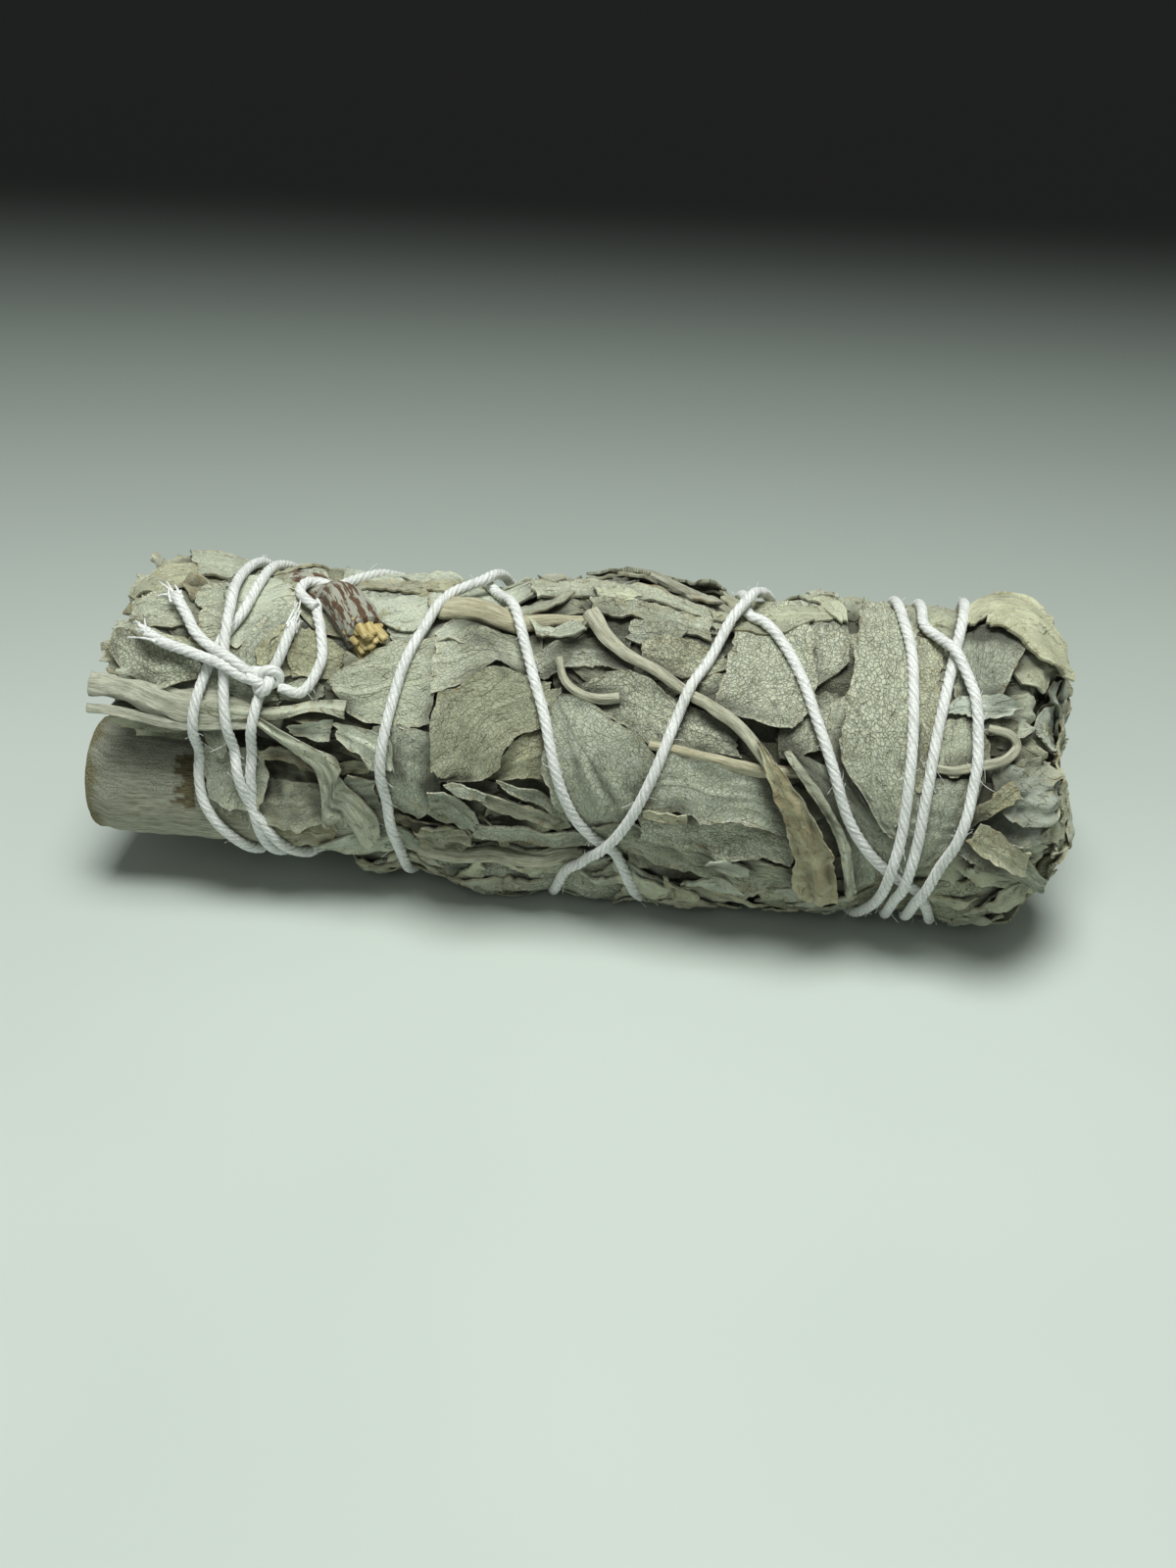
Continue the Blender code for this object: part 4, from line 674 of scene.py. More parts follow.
# A tube: a section carried along a path. Each ring lies across the path, and its outward side
# points away from the bunch's axis. shape gives the section as a factor of the radius, from the
# distance along and the angle round. The section makes one turn in each pitch, if there is one.
# The two ends close to a point over ring caps.
def makeTube(
    path, radii, sides, shape=None, flat=1.0, caps=(0.9, 0.5, 0.02), capDepth=0.15, tint=(0, 0, 0, 0),
    pitch=None,
):
    path = np.asarray(path, float)
    radii = np.broadcast_to(np.asarray(radii, float), len(path)).astype(float)
    tangent = np.gradient(path, axis=0)
    tangent /= np.linalg.norm(tangent, axis=1)[:, None]
    outward = path - np.array([0.0, 0.0, bundle["axisHeight"]])
    outward[:, 0] = 0.0
    outward -= (outward * tangent).sum(1)[:, None] * tangent
    outward /= np.maximum(np.linalg.norm(outward, axis=1), 1e-6)[:, None]
    sideways = np.cross(tangent, outward)
    run = np.concatenate([[0.0], np.cumsum(np.linalg.norm(np.diff(path, axis=0), axis=1))])
    size, push = np.ones(len(path)), np.zeros(len(path))
    for factor in caps:
        rows = (path, tangent, outward, sideways, radii, run)
        path, tangent, outward, sideways, radii, run = (
            np.concatenate([row[:1], row, row[-1:]]) for row in rows
        )
        reach = capDepth * radii[0] * (1 - factor) ** 0.5
        size = np.concatenate([[factor], size, [factor]])
        push = np.concatenate([[-reach], push, [reach]])
    turn = np.arange(sides) * 2 * math.pi / sides
    section = np.ones((len(run), sides)) if shape is None else shape(run[:, None], turn[None])
    reach = (radii * size)[:, None] * section
    around = turn[None] + (0 if pitch is None else 2 * math.pi * run[:, None] / pitch)
    ring = (
        (path + push[:, None] * tangent)[:, None]
        + (flat * reach * np.sin(around))[..., None] * outward[:, None]
        + (reach * np.cos(around))[..., None] * sideways[:, None]
    )
    ring[..., 2] = np.maximum(ring[..., 2], 0.02)
    i, j = np.meshgrid(np.arange(len(run) - 1), np.arange(sides), indexing="ij")
    k = (j + 1) % sides
    faces = np.stack([i * sides + j, i * sides + k, (i + 1) * sides + k, (i + 1) * sides + j], axis=-1)
    j = np.arange(sides // 2 - 1)
    ends = np.stack([j, j + 1, sides - 2 - j, sides - 1 - j], axis=-1)
    faces = np.vstack([faces.reshape(-1, 4), ends[:, ::-1], ends + (len(run) - 1) * sides])
    marks = {
        "stemPlace": np.stack(
            [np.repeat(run, sides), (radii[:, None] * turn[None]).ravel(), np.repeat(size, sides)], axis=1
        ),
        "stemTint": np.tile(np.array(tint, float), (len(run) * sides, 1)),
        # Painted shade for the valleys of the section, where it dips below 0.94 of the radius; only the
        # cotton reads it.
        "stemValleyShade": np.clip((0.94 - section) / 0.10, 0, 1).ravel(),
    }
    return ring.reshape(-1, 3), faces, marks


# A smoothed path on the bunch through (t, angle, height above what the map says, radius).
def surfacePath(stations, above):
    curve = smoothCurve(inRadians(stations), 10)
    points = place(curve[:, 0], curve[:, 1], curve[:, 2] + readMap(above, curve[:, 0], curve[:, 1]))
    return resample(np.column_stack([points, curve[:, 3:]]), 0.3)


# Five plies: the section has five lobes with sharp valleys between them.
def fivePlies(run, turn):
    return 0.84 + 0.18 * np.abs(np.cos(2.5 * turn)) + 0 * run


# A bark section: long seeded grooves that wander round the stem, and lumps along it.
def barky(rng, grooves, depth, lumps):
    phases = rng.uniform(0, 2 * math.pi, 6)

    def shape(run, turn):
        wander = 0.25 * np.sin(0.5 * run + phases[0]) + 0.1 * np.sin(1.7 * run + phases[1])
        fine = np.sin(grooves * (turn + wander) + phases[2])
        fine = fine + 0.7 * np.sin((2 * grooves - 1) * turn + phases[3])
        big = np.sin(0.9 * run + 2 * turn + phases[4]) + 0.6 * np.sin(2.3 * run - 3 * turn + phases[5])
        return 1 + depth * 0.5 * fine + lumps * 0.5 * big

    return shape


# Materials


# A node with its settings, each input either joined to a socket or set to a value.
def addNode(tree, kind, links=None, **settings):
    node = tree.nodes.new(kind)
    for key, value in settings.items():
        setattr(node, key, value)
    for key, value in (links or {}).items():
        if isinstance(value, bpy.types.NodeSocket):
            tree.links.new(value, node.inputs[key])
        else:
            node.inputs[key].default_value = value
    return node


# Two values joined by the operation.
def mathNode(tree, operation, first, second=0.0, clamp=False):
    node = addNode(tree, "ShaderNodeMath", {0: first, 1: second}, operation=operation, use_clamp=clamp)
    return node.outputs[0]


# The product of two values.
def times(tree, first, second):
    return mathNode(tree, "MULTIPLY", first, second)


# The total plus each value times its weight, held between 0 and 1 at the end if clamp is set.
def weighted(tree, total, *terms, clamp=False):
    for number, (value, weight) in enumerate(terms, 1):
        last = number == len(terms)
        total = mathNode(tree, "ADD", total, times(tree, value, weight), clamp=clamp and last)
    return total


# A noise less its middle value.
def swing(tree, noise):
    return mathNode(tree, "SUBTRACT", noise, 0.5)


# An attribute of the mesh, read at the shaded point.
def readMark(tree, name, output="Fac"):
    return addNode(tree, "ShaderNodeAttribute", attribute_name=name).outputs[output]


# The four values of a mark that is stored as a colour.
def readTint(tree, name):
    node = addNode(tree, "ShaderNodeAttribute", attribute_name=name)
    split = addNode(tree, "ShaderNodeSeparateColor", {0: node.outputs["Color"]}).outputs
    return split[0], split[1], split[2], node.outputs["Alpha"]


# Distance to the nearest edge of Voronoi cells.
def cellEdges(tree, vector, scale):
    links = {"Vector": vector, "Scale": scale}
    return addNode(tree, "ShaderNodeTexVoronoi", links, feature="DISTANCE_TO_EDGE").outputs[0]


# A mix of two colours by the share, or their product where blend says so.
def mixColour(tree, share, first, second, blend="MIX"):
    links = {0: share, 6: first, 7: second}
    return addNode(tree, "ShaderNodeMix", links, data_type="RGBA", blend_type=blend).outputs[2]


# A smooth step from start to stop, as the value goes from low to high.
def spread(tree, value, low, high, start=0.0, stop=1.0):
    links = {"Value": value, "From Min": low, "From Max": high, "To Min": start, "To Max": stop}
    return addNode(tree, "ShaderNodeMapRange", links, interpolation_type="SMOOTHSTEP").outputs[0]


# Fractal noise over a vector, with its scale, detail and roughness.
def noiseNode(tree, vector, scale, detail=2.0, roughness=0.55):
    links = {"Vector": vector, "Scale": scale, "Detail": detail, "Roughness": roughness}
    return addNode(tree, "ShaderNodeTexNoise", links).outputs[0]


# A vector with each axis times its factor.
def stretched(tree, vector, factors):
    return addNode(tree, "ShaderNodeVectorMath", {0: vector, 1: factors}, operation="MULTIPLY").outputs[0]


# A material with its one shader, and its roughness, sheen and shine.
def newMaterial(name, roughness, sheen=0.0, specular=0.2):
    material = bpy.data.materials.new(name)
    material.use_nodes = True
    tree = material.node_tree
    shader = tree.nodes["Principled BSDF"]
    shader.inputs["Roughness"].default_value = roughness
    shader.inputs["Sheen Weight"].default_value = sheen
    shader.inputs["Specular IOR Level"].default_value = specular
    return material, tree, shader


# Bumps by the height, as deep as the distance in metres.
def bumpNode(tree, shader, height, distance):
    bump = addNode(tree, "ShaderNodeBump", {"Height": height, "Strength": 1.0, "Distance": distance})
    tree.links.new(bump.outputs[0], shader.inputs["Normal"])


# Leaf colours, in linear values
leafColours = {
    "pale": (0.72, 0.75, 0.62, 1), "dark": (0.25, 0.265, 0.20, 1), "blue": (0.95, 1.0, 1.05, 1),
    "yellow": (1.03, 1.0, 0.80, 1), "brown": (0.29, 0.225, 0.12, 1), "crevice": (0.12, 0.125, 0.08, 1),
    "rim": (0.72, 0.70, 0.52, 1), "shade": (0.045, 0.045, 0.028, 1),
}


# Felted leaf: a tone between dark and pale, mottled by noise, with a net of veins from the
# distance to Voronoi cell edges, a midrib and side veins from the leaf's own place, and a rim.
# Painted shade darkens the creases and, by leafShade, the places that lie under other leaves.
def leafMaterial(name, brightness):
    material, tree, shader = newMaterial(name, 0.92, 0.18, 0.15)
    where = readMark(tree, "leafPlace", "Vector")
    ownTone, ownNet, ownHue, ownBrown = readTint(tree, "leafTint")
    axes = addNode(tree, "ShaderNodeSeparateXYZ", {0: where}).outputs
    mottle = noiseNode(tree, where, 0.35, 3.0)
    blotch = noiseNode(tree, where, 1.3, 3.0)
    grain = noiseNode(tree, where, 5.5, 3.0, 0.7)
    fibre = noiseNode(tree, stretched(tree, where, (2.0, 9.0, 1.0)), 1.0, 3.0, 0.7)
    wander = addNode(tree, "ShaderNodeTexNoise", {"Vector": where, "Scale": 0.9}).outputs["Color"]
    bent = addNode(tree, "ShaderNodeVectorMath", {0: where, 1: wander}, operation="ADD").outputs[0]
    groove = times(tree, spread(tree, cellEdges(tree, bent, 2.5), 0.02, 0.10, 1.0, 0.0), ownNet)
    major = times(tree, spread(tree, cellEdges(tree, bent, 0.42), 0.005, 0.035, 1.0, 0.0), ownNet)
    side = mathNode(tree, "ABSOLUTE", axes[1])
    midrib = spread(tree, side, 0.10, 0.35, 1.0, 0.0)
    slope = weighted(tree, axes[0], (side, -1.1))
    comb = mathNode(tree, "FRACT", weighted(tree, times(tree, slope, 0.42), (mottle, 0.5)))
    comb = mathNode(tree, "ABSOLUTE", swing(tree, comb))
    veinShare = spread(tree, ownNet, 0.1, 0.7, 0.25, 0.8)
    veins = times(tree, spread(tree, comb, 0.0, 0.045, 1.0, 0.0), veinShare)
    wrinkle = noiseNode(tree, stretched(tree, where, (0.28, 0.75, 1.0)), 1.0, 3.0, 0.5)
    wrinkle = mathNode(tree, "ABSOLUTE", swing(tree, wrinkle))
    # The crease lines sink in the bump and darken the tone below: painted shade along the wrinkles.
    crease = times(tree, spread(tree, wrinkle, 0.0, 0.02, 1.0, 0.0), spread(tree, blotch, 0.42, 0.58))
    tone = weighted(
        tree, ownTone, (swing(tree, mottle), 0.55), (swing(tree, grain), 0.85), (swing(tree, fibre), 0.45),
        (midrib, 0.12), (groove, -0.38), (crease, -0.20), (veins, -0.10), clamp=True,
    )
    colour = mixColour(tree, tone, leafColours["dark"], leafColours["pale"])
    hue = weighted(tree, ownHue, (swing(tree, blotch), 0.7), clamp=True)
    cast = mixColour(tree, hue, leafColours["blue"], leafColours["yellow"])
    colour = mixColour(tree, 1.0, colour, cast, "MULTIPLY")
    browned = times(tree, ownBrown, spread(tree, blotch, 0.3, 0.62, 0.35, 1.0))
    colour = mixColour(tree, browned, colour, leafColours["brown"])
    worn = times(tree, readMark(tree, "leafRim"), spread(tree, blotch, 0.45, 0.65, 0.15, 0.75))
    rimColour = mixColour(tree, spread(tree, mottle, 0.42, 0.6), leafColours["brown"], leafColours["rim"])
    colour = mixColour(tree, worn, colour, rimColour)
    colour = mixColour(tree, times(tree, major, 0.45), colour, leafColours["crevice"])
    # Painted shade: leafShade mixes the colour towards the shade colour where the leaf lies under others.
    colour = mixColour(tree, times(tree, readMark(tree, "leafShade"), 0.85), colour, leafColours["shade"])
    colour = mixColour(tree, 1.0, colour, (brightness, brightness, brightness, 1), "MULTIPLY")
    tree.links.new(colour, shader.inputs["Base Color"])
    height = weighted(
        tree, 0.0, (grain, 0.5), (fibre, 0.35), (groove, -0.8), (veins, -0.35), (midrib, 0.5),
        (crease, -0.8),
    )
    bumpNode(tree, shader, height, 0.00022)
    return material


# Stem colours for the parts that stemTint marks, each from its dark to its light, in linear values
stemColours = {
    "felt": ((0.15, 0.155, 0.115, 1), (0.50, 0.51, 0.41, 1)),
    "peeled": ((0.05, 0.042, 0.02, 1), (0.21, 0.18, 0.10, 1)),
    "rim": ((0.07, 0.06, 0.025, 1), (0.26, 0.23, 0.11, 1)),
    "mottled": ((0.12, 0.07, 0.04, 1), (0.40, 0.40, 0.33, 1)),
}


# Wood and bark: grain from noise drawn out along the stem, between two colours, with a third in
# patches. stemTint adds (grey felt, peeled wood, rim, mottled bark).
def stemMaterial(name, light, dark, patch):
    material, tree, shader = newMaterial(name, 0.85, 0.1, 0.2)
    where = readMark(tree, "stemPlace", "Vector")
    felted, peeled, rim, mottled = readTint(tree, "stemTint")
    grain = noiseNode(tree, stretched(tree, where, (0.35, 3.4, 7.0)), 1.0, 5.0, 0.7)
    fine = noiseNode(tree, stretched(tree, where, (0.9, 9.0, 9.0)), 1.0, 4.0, 0.75)
    blotch = noiseNode(tree, where, 0.8, 4.0, 0.6)
    felt = noiseNode(tree, where, 6.0, 3.0, 0.7)
    streaks = noiseNode(tree, stretched(tree, where, (0.5, 1.5, 1.0)), 1.0, 4.0, 0.6)
    lines = weighted(tree, 0.0, (grain, 0.6), (fine, 0.4))
    feltLines = weighted(tree, 0.0, (felt, 0.45), (lines, 0.55))
    colour = mixColour(tree, spread(tree, lines, 0.36, 0.62), dark, light)
    for share, look, value, low, high in (
        (felted, "felt", feltLines, 0.38, 0.62), (peeled, "peeled", fine, 0.35, 0.65),
        (rim, "rim", felt, 0.4, 0.6), (mottled, "mottled", streaks, 0.47, 0.54),
    ):
        other = mixColour(tree, spread(tree, value, low, high), *stemColours[look])
        colour = mixColour(tree, share, colour, other)
    colour = mixColour(tree, spread(tree, blotch, 0.60, 0.70, 0.0, 0.45), colour, patch)
    tree.links.new(colour, shader.inputs["Base Color"])
    bumpNode(tree, shader, weighted(tree, lines, (felt, 0.25)), 0.00018)
    return material


# White cotton: fine noise along the plies on a nearly white ground, with painted shade in the valleys
# between the plies.
def cottonMaterial():
    material, tree, shader = newMaterial("cotton", 0.8, 0.35, 0.25)
    where = readMark(tree, "stemPlace", "Vector")
    threads = noiseNode(tree, stretched(tree, where, (3.0, 6.0, 1.0)), 1.0, 3.0, 0.6)
    soil = noiseNode(tree, where, 0.25, 2.0)
    share = spread(tree, threads, 0.3, 0.62)
    colour = mixColour(tree, share, (0.62, 0.64, 0.60, 1), (0.97, 0.985, 0.96, 1))
    colour = mixColour(tree, spread(tree, soil, 0.50, 0.72, 0.0, 0.35), colour, (0.70, 0.71, 0.63, 1))
    # Painted shade in the valleys between the plies.
    paintedShade = times(tree, readMark(tree, "stemValleyShade"), 0.9)
    colour = mixColour(tree, paintedShade, colour, (0.50, 0.515, 0.475, 1))
    tree.links.new(colour, shader.inputs["Base Color"])
    bumpNode(tree, shader, threads, 0.0001)
    return material


sageLeaf = leafMaterial("sageLeaf", 0.99)
sageLeafPale = leafMaterial("sageLeafPale", 1.05)
paleStem = stemMaterial("paleStem", (0.60, 0.60, 0.46, 1), (0.26, 0.25, 0.175, 1), (0.55, 0.51, 0.34, 1))
thickBark = stemMaterial("thickBark", (0.46, 0.46, 0.36, 1), (0.17, 0.17, 0.115, 1), (0.30, 0.27, 0.17, 1))
strapStem = stemMaterial("strapStem", (0.60, 0.61, 0.49, 1), (0.27, 0.27, 0.20, 1), (0.52, 0.48, 0.35, 1))
goldStem = stemMaterial("goldStem", (0.62, 0.59, 0.42, 1), (0.30, 0.27, 0.17, 1), (0.56, 0.49, 0.29, 1))
brokenWood = stemMaterial("brokenWood", (0.74, 0.62, 0.29, 1), (0.30, 0.20, 0.065, 1), (0.78, 0.70, 0.40, 1))
cotton = cottonMaterial()
print("materials ready")

# The pile: how high the leaves stand over the pressed surface, as a map. It starts low, and
# pits stay open between the front leaves.
pile = {
    "start": -1.6, "atLeft": 1.7, "atRight": 0.1, "stemZone": (-27.0, -74, 16), "softness": 1.05,
    "stiffness": 2.3,
}
# The thick stem: how far its axis drops towards the bunch's own at the stations along it, and the
# factors of its radius there
thickStem = {
    "angle": math.radians(-33), "offset": 8.6, "radius": 6.1, "left": -49.6, "right": -18.5,
    "stations": [-49, -44, -38, -30, -22, -18.5], "drops": [0.0, -0.1, 0.0, 0.1, -0.5, -1.2],
    "factors": [0.93, 0.99, 0.975, 0.985, 0.93, 0.83],
}
# Pits, as (t, angle in degrees, reach, depth)
pits = [
    (-9.6, 13, 1.0, 1.6), (-3.9, 8, 0.9, 1.5), (-5.9, -5, 1.3, 1.6), (24.0, 54, 0.9, 2.0),
    (-25.3, 6, 0.8, 1.6), (34.9, 79, 0.8, 1.8), (3.2, 55, 0.7, 1.2), (-23.6, 16, 0.9, 1.4),
    (40.6, -17, 1.4, 2.0), (11.1, -39, 1.4, 1.4), (-33.5, 57, 0.9, 1.0), (-27.5, 62, 1.0, 1.0),
    (-41.0, 24, 1.4, 2.0),
]


# How far the thick stem's axis lies from the bunch's own, read between its stations.
def stemAxisOffset(t):
    return thickStem["offset"] + np.interp(t, thickStem["stations"], thickStem["drops"])


# The pressed ground under the leaves, fuller at both ends, where fewer leaves overlap.
ground = pile["start"] + pile["atLeft"] * smoothStep((-mapT - 20) / 16)
ground = ground + pile["atRight"] * smoothStep((mapT - 24) / 12)
ground = ground - 0.7 * smoothStep((-mapT - 24) / 8) * underside(mapAngle)

# The thick stem's surface as a height over the pressed leaves: the far meeting point of the
# ray at that angle with the stem's circle.
stemTurn = wrapped(mapAngle - thickStem["angle"])
stemOffset = stemAxisOffset(mapT)
stemRadius = thickStem["radius"] * np.interp(mapT, thickStem["stations"], thickStem["factors"])
under = stemRadius**2 - (stemOffset * np.sin(stemTurn)) ** 2
hit = (under > 0) & (np.abs(stemTurn) < 1.4) & (mapT < thickStem["right"])
stemHeight = stemOffset * np.cos(stemTurn) + np.sqrt(np.maximum(under, 0)) - bodyRadius(mapT, mapAngle)
heights = np.where(hit, np.maximum(ground, stemHeight), ground)
stemRoom = smoothStep((60 - np.abs(np.degrees(stemTurn))) / 12) * smoothStep((-mapT - 22) / 3)
heights = np.where(stemRoom > 0.5, np.where(hit, stemHeight, ground - 3.0), heights)
pitMap = np.zeros(mapT.shape)
for t, angle, reach, depth in pits:
    turn = wrapped(mapAngle - math.radians(angle))
    pitMap += depth * np.exp(-((mapT - t) ** 2 + (bundle["girth"] * turn) ** 2) / reach**2)
blurred = {}


# The highest cell among the neighbours within reach, so that a sheet stands clear of them.
def widened(values, reach):
    for axis in (0, 1):
        values = np.maximum.reduce([np.roll(values, step, axis) for step in range(-reach, reach + 1)])
    return values


# The heights as limp, stiff and sharp sheets would follow them.
def refreshMaps():
    blurred[1.0] = blurMap(widened(heights, 1), pile["softness"])
    blurred[2.0] = blurMap(widened(heights, 3), pile["stiffness"])
    blurred[0.0] = blurMap(heights, 0.5)


# The inner wad: a tube with long creases, below all the leaves, drawn in at its left end.
def makeCore():
    rng = np.random.default_rng(3)
    u, turn = np.meshgrid(np.linspace(-42.5, 56.6, 150), np.arange(110) * 2 * math.pi / 110, indexing="ij")
    creases = 0.35 * ripple(u * 0.25, turn * 15, rng, 1.2, 3.5) + 0.25 * ripple(u, turn * 15, rng, 4, 9)
    room = readMap(stemRoom, u, turn)
    grid = place(u, turn, readMap(ground, u, turn) - 0.6 + creases * (1 - room) - 5.0 * room)
    axis = np.array([0, 0, bundle["axisHeight"]]) + bundle["shift"]
    inward = np.array([0.93, 0.6, 0.25, 0.02])[:, None, None]
    start = grid[:1].repeat(4, axis=0)
    start[..., 1:] = axis[1:] + (start[..., 1:] - axis[1:]) * inward
    sunk = 0.5 * ripple(start[..., 1], start[..., 2], rng, 2, 5)
    start[..., 0] += np.array([0.6, 1.6, 2.4, 2.6])[:, None] + sunk
    grid = np.concatenate([start[::-1], grid])
    rows, ring = grid.shape[:2]
    flat = np.ones(rows * ring)
    marks = {
        "leafPlace": np.stack([grid[..., 0].ravel(), np.tile(np.arange(ring) * 0.8, rows), flat], axis=1),
        "leafTint": flat[:, None] * np.array([0.28, 0.1, 0.6, 0.45]),
        "leafRim": flat * 0,
        # Painted shade over the whole wad, which lies under all the leaves.
        "leafShade": flat * 0.7,
    }
    return grid.reshape(-1, 3), sheetFaces(rows, ring), marks


# The lying stems: the CAD piece that each stands for, its material, its bark as (seed, grooves,
# depth of grooves, size of lumps), how flat it is, and its stations as (t, angle, height over the
# leaves, radius)
stems = {
    "splitStemUpper": {
        "node": "split_stem_upper", "material": strapStem, "bark": (61, 5, 0.28, 0.12), "flat": 0.42,
        "stations": [
            (-47.4, 36, 0.6, 1.05), (-43.7, 35, 0.6, 1.0), (-40.5, 32, 0.4, 1.25), (-38, 30.5, 0.3, 1.4),
            (-35.6, 31, 0.2, 1.4), (-32.4, 30, 0.0, 1.2), (-28.5, 27, -0.2, 0.8),
        ],
    },
    "splitStemLower": {
        "node": "split_stem_lower", "material": strapStem, "bark": (62, 4, 0.28, 0.12), "flat": 0.55,
        "stations": [
            (-47.6, 27, 0.4, 0.5), (-45.4, 27, 0.4, 0.5), (-42.2, 25.5, 0.3, 0.55), (-38.7, 23.5, 0.3, 0.6),
            (-35.3, 24, 0.1, 0.6), (-31.4, 25, 0.0, 0.5),
        ],
    },
    "sideTwig": {
        "node": "side_twig", "material": goldStem, "bark": (63, 5, 0.12, 0.12), "flat": 0.8,
        "stations": [
            (-14.2, 80, 0.2, 1.25), (-11.5, 78, 0.3, 1.35), (-8.5, 77, 0.3, 1.2), (-5.6, 76.5, 0.3, 0.9),
            (-2.7, 76, 0.3, 0.65), (0.3, 75.5, 0.4, 0.6),
        ],
    },
    "curledLeafPetiole": {
        "node": "leaf_curled_brown", "material": paleStem, "bark": (64, 3, 0.26, 0.12), "flat": 0.85,
        "stations": [
            (0.4, 76, 0.3, 0.85), (2.3, 68, 0.4, 0.62), (4.9, 60, 0.3, 0.52), (7.8, 55, 0.3, 0.5),
            (10.7, 49, 0.3, 0.5), (13.2, 43, 0.3, 0.52), (15.3, 38, 0.3, 0.55), (17.6, 30, 0.4, 0.60),
            (20.0, 19, 0.4, 0.5),
        ],
    },
    "longPetiole": {
        "node": "long_petiole", "material": goldStem, "bark": (65, 3, 0.22, 0.12), "flat": 0.8,
        "stations": [
            (7.2, 29, -0.3, 0.4), (10.8, 27.5, -0.1, 0.45), (14.4, 25.5, -0.1, 0.5), (17.7, 23.5, -0.1, 0.6),
            (20.0, 23.5, -0.2, 0.6), (22.6, 24, -0.1, 0.5), (25.7, 26, -0.4, 0.45),
        ],
    },
    "petioleHook": {
        "node": "petiole_hook", "material": paleStem, "bark": (66, 3, 0.2, 0.12), "flat": 0.8,
        "stations": [
            (33.7, 28, -0.2, 0.4), (35.5, 28, 0.1, 0.42), (38.0, 30, 0.1, 0.45), (40.6, 33, 0.1, 0.46),
            (42.0, 38, 0.1, 0.45), (41.2, 42, 0.1, 0.4), (38.8, 44, -0.1, 0.35),
        ],
    },
    "smallPetiole": {
        "node": "small_petiole", "material": paleStem, "bark": (67, 3, 0.24, 0.12), "flat": 0.85,
        "stations": [
            (-2.1, 59, 0.1, 0.4), (-1.5, 52, 0.2, 0.36), (-0.4, 47, 0.2, 0.38), (1.1, 44.5, 0.2, 0.38),
            (2.5, 44, 0.2, 0.5), (4.1, 45, 0.2, 0.55),
        ],
    },
    "lowStem": {
        "node": "low_stem", "material": paleStem, "bark": (68, 5, 0.10, 0.08), "flat": 0.9,
        "stations": [
            (-15.5, -34, -0.2, 0.8), (-10.4, -33, -0.2, 0.9), (-5.4, -33, -0.2, 0.9), (0.6, -34, -0.2, 0.8),
        ],
    },
    "darkTopStem": {
        "node": "dark_top_stem", "material": thickBark, "bark": (69, 5, 0.10, 0.12), "flat": 0.8,
        "stations": [
            (2.0, 113, -0.4, 0.55), (4.8, 110, -0.4, 0.65), (9.0, 102, -0.4, 0.65), (13.5, 95, -0.4, 0.5),
        ],
    },
}


# Layers of seeded leaves over the whole bunch, stratified along and around it. Each belongs to
# the sprig of its sector. The thick stem's zone stays free.
sprigParts = {number: [] for number in range(1, 6)}
seeded = {
    "layers": 4, "along": 8, "around": 6, "length": (19, 28), "width": (8.0, 12.5), "slant": 0.252,
    "left": -36, "run": 80,
}


# The number of the sprig whose sector, a fifth of the turn with a slight twist, holds the place.
def sprigOf(t, angle):
    twist = math.radians(6) * t / 50 + math.radians(4) * math.sin(t / 9.5)
    return int(round((angle - math.radians(-6) - twist) / (2 * math.pi / 5))) % 5 + 1


# Whether any corner of a leaf lies over the thick stem's bare part.
def inStemZone(edges):
    end, low, high = pile["stemZone"]
    spots = np.vstack(edges)
    turn = np.degrees(wrapped(spots[:, 1]))
    return bool(((spots[:, 0] < end) & (turn > low) & (turn < high)).any())


# Lance-shaped leaves, one for each cell of a grid along and around, moved by a half cell each layer.
def seededLeaves():
    rng = np.random.default_rng(11)
    for layer in range(seeded["layers"]):
        refreshMaps()
        for number in rng.permutation(seeded["along"] * seeded["around"]):
            i, j = divmod(int(number), seeded["around"])
            t = seeded["left"] + seeded["run"] * (i + rng.uniform(0.1, 0.9)) / seeded["along"]
            angle = 2 * math.pi * (j + 0.5 * layer + rng.uniform(0.1, 0.9)) / seeded["around"]
            length, width = rng.uniform(*seeded["length"]), rng.uniform(*seeded["width"])
            slant = rng.normal(0, seeded["slant"])
            t = min(t, 44.0)
            limit = -43.0 if math.sin(angle) > 0.2 else -44.5
            if t - length / 2 < limit:
                t = limit + length / 2 + rng.uniform(0, 3)
            edges = lanceEdges(t, angle, length, width, slant, rng)
            if inStemZone(edges):
                continue
            browned = rng.uniform(0.0, 0.3) ** 1.5 + (0.14 if t - length / 2 < -39 else 0.0)
            tone = (rng.uniform(0.34, 0.66), rng.choice([0.15, 0.35, 0.8]), rng.uniform(0.2, 0.85), browned)
            leaf = makeLeaf(
                *edges, tone, rng, curl=rng.uniform(0.1, 0.55), stiff=float(rng.choice([1.0, 2.0])),
                wave=0.13, torn=0.5, thick=0.24, spacing=0.85 if layer > 1 else 1.3, pits=True, swell=0.4,
                crumple=0.045,
            )
            sprigParts[sprigOf(t, angle)].append(leaf)
            if number % 6 == 0:
                refreshMaps()


# Tip end: how many leaves go round it and how many lie across it, where they go round as t, and
# how far from the middle the outermost of those across lies
tip = {"round": 84, "across": 22, "from": 40.0, "to": 51.5, "reach": 9.0}


